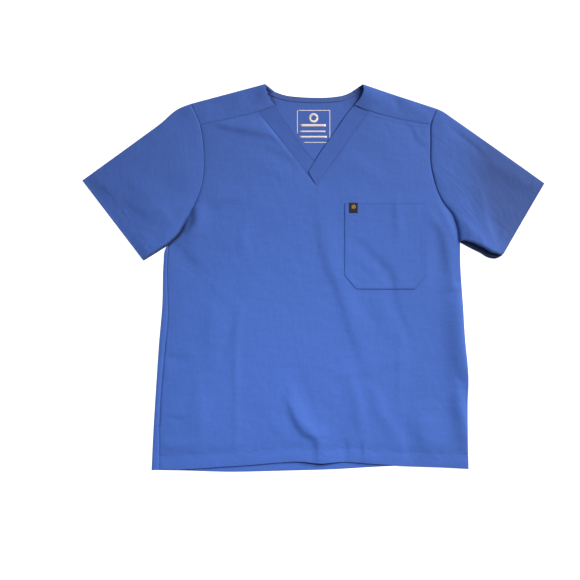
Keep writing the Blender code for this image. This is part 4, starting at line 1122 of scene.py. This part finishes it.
SLEEVE_CREASES = {LEFT: (       # given as the front's are
    # hollow towards the cuff, and a swell above it
    (-1.6, 11, 31, ((-380, 153), (-353, 130), (-319, 100))),
    (1.0, 17, 16, ((-347, 200), (-332, 177), (-316, 151))),
    # along the upper edge, and near the cuff's upper corner
    (1.1, 26, 7, ((-397, 203), (-355, 226), (-309, 249))),
    (-0.7, 12, 26, ((-425, 174), (-404, 160), (-389, 142))),
    # short one towards the underarm, and one beside the armhole
    (1.0, 9, 20, ((-293, 138), (-278, 118), (-266, 92))),
    (-1.3, 22, 22, ((-286, 198), (-275, 171), (-263, 145))),
    # fold across to the armhole, and one above it
    (1.6, 10, 22, ((-329, 128), (-283, 130), (-233, 136))),
    (0.4, 20, 5, ((-310, 190), (-272, 193), (-230, 188))),
    # below the shoulder, and in the middle
    (-1.2, 11, 20, ((-258, 322), (-247, 303), (-239, 276))),
    (0.7, 26, 12, ((-315, 247), (-294, 259), (-263, 267))),
), RIGHT: (
    # hollow, and a fold beside it
    (-1.0, 20, 9, ((294, 165), (300, 137), (313, 106))),
    (2.1, 6, 21, ((317, 166), (321, 135), (328, 104), (338, 74), (347, 47))),
    # small hollow at the cuff's lower end, and a broad swell towards its upper end
    (-0.9, 4, 12, ((343, 119), (351, 93), (353, 67))),
    (3.1, 45, 17, ((326, 235), (360, 208), (405, 182), (434, 171))),
    # slack below the shoulder, and a soft line in the middle
    (-0.7, 6, 6, ((259, 282), (293, 256), (327, 226))),
    (-0.8, 26, 26, ((314, 204), (321, 182), (343, 153))),
    # underarm fold
    (1.4, 7, 12, ((260, 136), (273, 119), (292, 98), (313, 75), (332, 56), (353, 41))),
)}


GREYING = (0.05, 0.08)        # distance from the armhole at which the sleeve starts to turn darker and greyer, and over which that grows
greyer_cloth = woven("greyer_cloth", BLUE_DEEP, BLUE_LIGHT, THREAD_PITCH, greying=GREYING)
sleeve_places = steps(SLEEVE_LENGTH, SLEEVE_CELL, start=True, end=True)


def fold_side(side, crest, low_height, outer):
    """The side of a raised fold, from its crest down to the lower layer."""
    return np.array([(*(crest[:2] + (outer - crest[:2]) * out), low_height + (crest[2] - low_height) * up)
                     for out, up, _ in FOLD_SIDE[side]])


for side, name in SIDES.items():
    cuff_top, cuff_low = np.array(CUFF_TOP[side]) / 1000, np.array(CUFF_LOW[side]) / 1000
    inward = unit(cuff_top - cuff_low)
    outer_low = smooth(UNDERARM[side], *SLEEVE_LOW[side], CUFF_LOW[side])
    outer_high = smooth(SHOULDER_TIP[side], *SLEEVE_TOP[side], CUFF_TOP[side])
    places = lengths(outer_low) / lengths(outer_low)[-1]
    roll_places, roll_reach, roll_rise = np.array(LOWER_ROLL[side]).T
    fold_points = len(FOLD_SIDE[side])

    def layer(arm_points, reach):
        """The plan of one layer, from armhole to cuff, and from the upper edge to the lower one."""
        cuff = less(np.array((cuff_top, cuff_low)), start=ROLL, end=reach[-1])
        high, below = outer_high - inward * ROLL, outer_low + inward * reach[:, None]
        high[0], high[-1], below[0], below[-1] = arm_points[0], cuff[0], arm_points[-1], cuff[-1]
        return hemmed_plan(arm_points, cuff, down_to_hem(high, sleeve_places),
                           down_to_hem(below, sleeve_places))

    top_arm = joined(at(less(arm[side][0], start=ROLL), steps(YOKE_DOWN, SLEEVE_CELL)),
                     at(front_arm[side], steps(ARM_LENGTH, SLEEVE_CELL)))
    under_arm = joined(at(less(back_arm[side][0], start=ROLL), steps(YOKE_BACK_DOWN, UNDER_CELL)),
                       at(less(back_arm[side][1], end=ROLL), steps(UNDER_ARM_LENGTH, UNDER_CELL)))
    top_plan = layer(top_arm, np.interp(places, roll_places, roll_reach))
    under_plan = layer(under_arm, np.full(len(places), ROLL))
    sleeve_rim = joined(top_plan[0, ::5], top_plan[::5, -1], top_plan[::-5, 0])
    cuff_stitching = top_plan[-len(HEM_PLACES)]
    row_places = lengths(top_plan[:, -1]) / lengths(top_plan[:, -1])[-1]
    extra = np.interp(row_places, roll_places, roll_rise)
    whole_arm = joined(*arm[side])

    def sleeve_surface(points):
        """Heights of the sleeve's upper layer without its raised lower edge."""
        deep_part = at(whole_arm, np.linspace(*DEEP_PART[side], 24))
        height = lie(points, lift=SLEEVE_LIFT[side], rim=sleeve_rim, creases=SLEEVE_CREASES[side],
                     seams=[(whole_arm, *SLEEVE_DIP[side]), (deep_part, *DEEP_DIP[side])],
                     seed=9.4, crumple=SLEEVE_CRUMPLE)
        return height + hem_relief(points, cuff_stitching if side == RIGHT else cuff_stitching[::-1],
                                   step=CUFF_STEP)

    across = share(top_plan[0])
    top = raised(top_plan, sleeve_surface(top_plan) + extra[:, None] * across[None]**FOLD_RISE)
    under = low(under_plan)
    lower, upper = [joined(*down_to_hem(curve, sleeve_places)) for curve in (outer_low, outer_high)]
    lower[0] = top_plan[0, -1] + unit(top_plan[0, -1] - top_plan[0, -2]) * ROLL
    fold_share = np.minimum(1, extra / FULL_FOLD)
    rings = []
    for i in range(len(top)):
        low_roll = rolled(top[i, -1], under[i, -1], lower[i], count=fold_points)
        low_roll += fold_share[i] * (fold_side(side, top[i, -1], under[i, -1, 2], lower[i]) - low_roll)
        high_roll = rolled(top[i, 0], under[i, 0], upper[i])[::-1]
        rings.append(np.vstack((top[i], low_roll, under[i, ::-1], high_roll, top[i, :1])))
    rows = np.array(rings)
    fold_columns = slice(top.shape[1], top.shape[1] + fold_points)
    pull = np.full((rows.shape[1], 1), SEAM)
    pull[fold_columns.start - 1:fold_columns.stop] = UNDERARM_CLEARANCE
    for i, pulled in enumerate(PULLED):
        rows[i, :, :2] += unit(rows[i + len(PULLED), :, :2] - rows[i, :, :2]) * pull * pulled
    rows = hemmed(rows, len(HEM_PLACES), probe=top.shape[1] // 2)
    rows[:, -1] = rows[:, 0]
    dark = shaded(rows, *(ARM_GAP if side == LEFT else ()))
    shares = np.pad(fold_share, (0, len(rows) - len(top)), "edge")[:, None]
    # painted shade on the side of the raised fold, below its crest
    fold_shade = shares * np.array(FOLD_SIDE[side])[:, 2]
    dark[:, fold_columns] = np.maximum(dark[:, fold_columns], fold_shade)
    sleeve = sheet_of(f"sleeve_{name}_cloth", rows, closed=True, dark=dark,
                      made_of=cloth if side == LEFT else greyer_cloth)
    cuff_line = top[-len(HEM_PLACES), 1:-2] + (0, 0, CLOTH / 2 + STITCH_LIFT)
    cuff_stitches = sew(f"sleeve_{name}_stitches", cuff_line)
    dress(f"sleeve_{name}")


# ---- Chest pocket --------------------------------------------------------------------------------
# A patch pocket with its lower corners cut off, edges turned in and stitched twice to the front;
# its upper edge is hemmed and stays open.
POCKET_WIDTH, POCKET_HEIGHT = 0.156, 0.163
POCKET_CUT = (0.0225, 0.0260)
POCKET_LEAN = 0.0020
POCKET_CORNER = (0.0591, 0.1410)
POCKET_CELL = 0.0038
POCKET_LIFT = 0.0009
POCKET_MOUTH, MOUTH_REACH, MOUTH_EASE = 0.0006, 0.012, 0.03   # it stands open by this, to this depth
POCKET_EDGE, EDGE_SOFT = 0.00035, 0.0009      # rise of its turned-in edges, and softness of their step
POCKET_ROUND, ROUND_WIDTH = 0.0005, 0.0007    # drop at its outline, and half width of that
POCKET_TURN, POCKET_TURN_GAP = 8, 0.00065     # rows of its upper edge that are turned in, and their gap
POCKET_STITCHING, MOUTH_STITCHING = (0.0018, 0.0078), 0.022   # distances in from its edges
straight = POCKET_HEIGHT - POCKET_CUT[1]
drops = np.concatenate((steps(straight, POCKET_CELL, start=True) * straight,
                        straight + steps(POCKET_CUT[1], POCKET_CELL, end=True)[1:] * POCKET_CUT[1]))
pocket_across = steps(POCKET_WIDTH, POCKET_CELL, start=True, end=True)


def pocket_row(drop, inset=0.0):
    """The pocket's left and right sides at a drop from its upper edge."""
    cut = max(0.0, drop - straight) / POCKET_CUT[1] * POCKET_CUT[0] + inset
    lean = POCKET_LEAN * (1 - drop / POCKET_HEIGHT)
    return POCKET_CORNER[0] + cut, POCKET_CORNER[0] + POCKET_WIDTH - lean - cut


sides_of_rows = [pocket_row(drop) for drop in drops]
pocket_plan = np.array([[(left + (right - left) * u, POCKET_CORNER[1] - drop) for u in pocket_across]
                        for drop, (left, right) in zip(drops, sides_of_rows)])
pocket_rim = joined(pocket_plan[:, 0], pocket_plan[-1], pocket_plan[::-1, -1])


def pocket_surface(points):
    """Heights of the pocket's middle: its turned-in edges are thicker, and rounded outside."""
    flat = points.reshape(-1, 2)
    gap = np.abs(near(flat, pocket_rim[::2])[0]).reshape(points.shape[:-1])
    drop = POCKET_CORNER[1] - points[..., 1]
    mouth = bell(drop, MOUTH_REACH) * np.minimum(gap / MOUTH_EASE, 1)
    edge = POCKET_EDGE * drop_off(gap, ALLOWANCE, EDGE_SOFT) - POCKET_ROUND * bell(gap, ROUND_WIDTH)
    return front_surface(points) + POCKET_LIFT + edge + POCKET_MOUTH * mouth


rows = raised(pocket_plan, pocket_surface(pocket_plan))
rows = hemmed(rows[::-1], POCKET_TURN, gap=POCKET_TURN_GAP)[::-1]
pocket_shade = ((0.35, 0.35), 0.0012, joined(pocket_plan[0], pocket_plan[:, -1]))
pocket = sheet_of("pocket_cloth", rows, grain_over(rows[::-1])[::-1], dark=shaded(rows, pocket_shade))
pocket_lines = [aside(pocket_rim, gap)[4:-4:2] for gap in POCKET_STITCHING]
pocket_lines.append(pocket_plan[0, 6:-6] - (0, MOUTH_STITCHING))
pocket_stitches = sew("pocket_stitches", *[on(pocket_surface, line) for line in pocket_lines])


# ---- Pocket tab ----------------------------------------------------------------------------------
# A charcoal woven tape, folded over the pocket's upper edge and stitched, with a small gold spot.
TAB_SIZE, TAB_PLACE, TAB_CELLS = (0.0162, 0.0190), (0.0090, 0.0010), 12
TAPE, TAPE_PITCH, TAPE_GAP = 0.0006, 0.0004, 0.0002
TAPE_ROUND, TAPE_ROUND_WIDTH = 0.0004, 0.0008      # drop at its upper fold, and half width of that
CHARCOAL, CHARCOAL_LIGHT = (0.018, 0.018, 0.022, 1.0), (0.030, 0.029, 0.030, 1.0)
GOLD = (0.80, 0.52, 0.14, 1.0)
SPOT, SPOT_PLACE, SPOT_ROWS, SPOT_LIFT = 0.0042, (0.0081, 0.0078), 15, 0.0004
SPOT_PITCH, SPOT_STITCH = 0.0022, 0.0024
tape = woven("tab_tape", CHARCOAL, CHARCOAL_LIGHT, TAPE_PITCH)
corner = np.add(POCKET_CORNER, TAB_PLACE)
tab_plan = np.array([[corner + (TAB_SIZE[0] * u, -TAB_SIZE[1] * v) for u in np.linspace(0, 1, TAB_CELLS)]
                     for v in np.linspace(0, 1, TAB_CELLS)])


def tab_surface(points):
    """Heights of the tape, which lies on the pocket and rounds down at its upper fold."""
    fold = bell(corner[1] - points[..., 1], TAPE_ROUND_WIDTH)
    return pocket_surface(points) + CLOTH + TAPE_GAP - TAPE_ROUND * fold


tab = sheet_of("tab_tape", raised(tab_plan, tab_surface(tab_plan)), thickness=TAPE, made_of=tape)
gold, _, _ = finish("spot_thread", 0.55, colour=GOLD)
spot_centre = corner + (SPOT_PLACE[0], -SPOT_PLACE[1])
spot_lines = []
for offset in np.linspace(-1, 1, SPOT_ROWS)[1:-1]:
    half = SPOT * math.sqrt(1 - offset**2)
    line = spot_centre + np.array(((-half, offset * SPOT), (half, offset * SPOT)))
    spot_lines.append(raised(line, tab_surface(line) + SPOT_LIFT))
spot = sew("tab_spot", *spot_lines, pitch=SPOT_PITCH, long=SPOT_STITCH, made_of=gold)
dress("chest_pocket")
dress("pocket_tab")

bpy.context.view_layer.update()
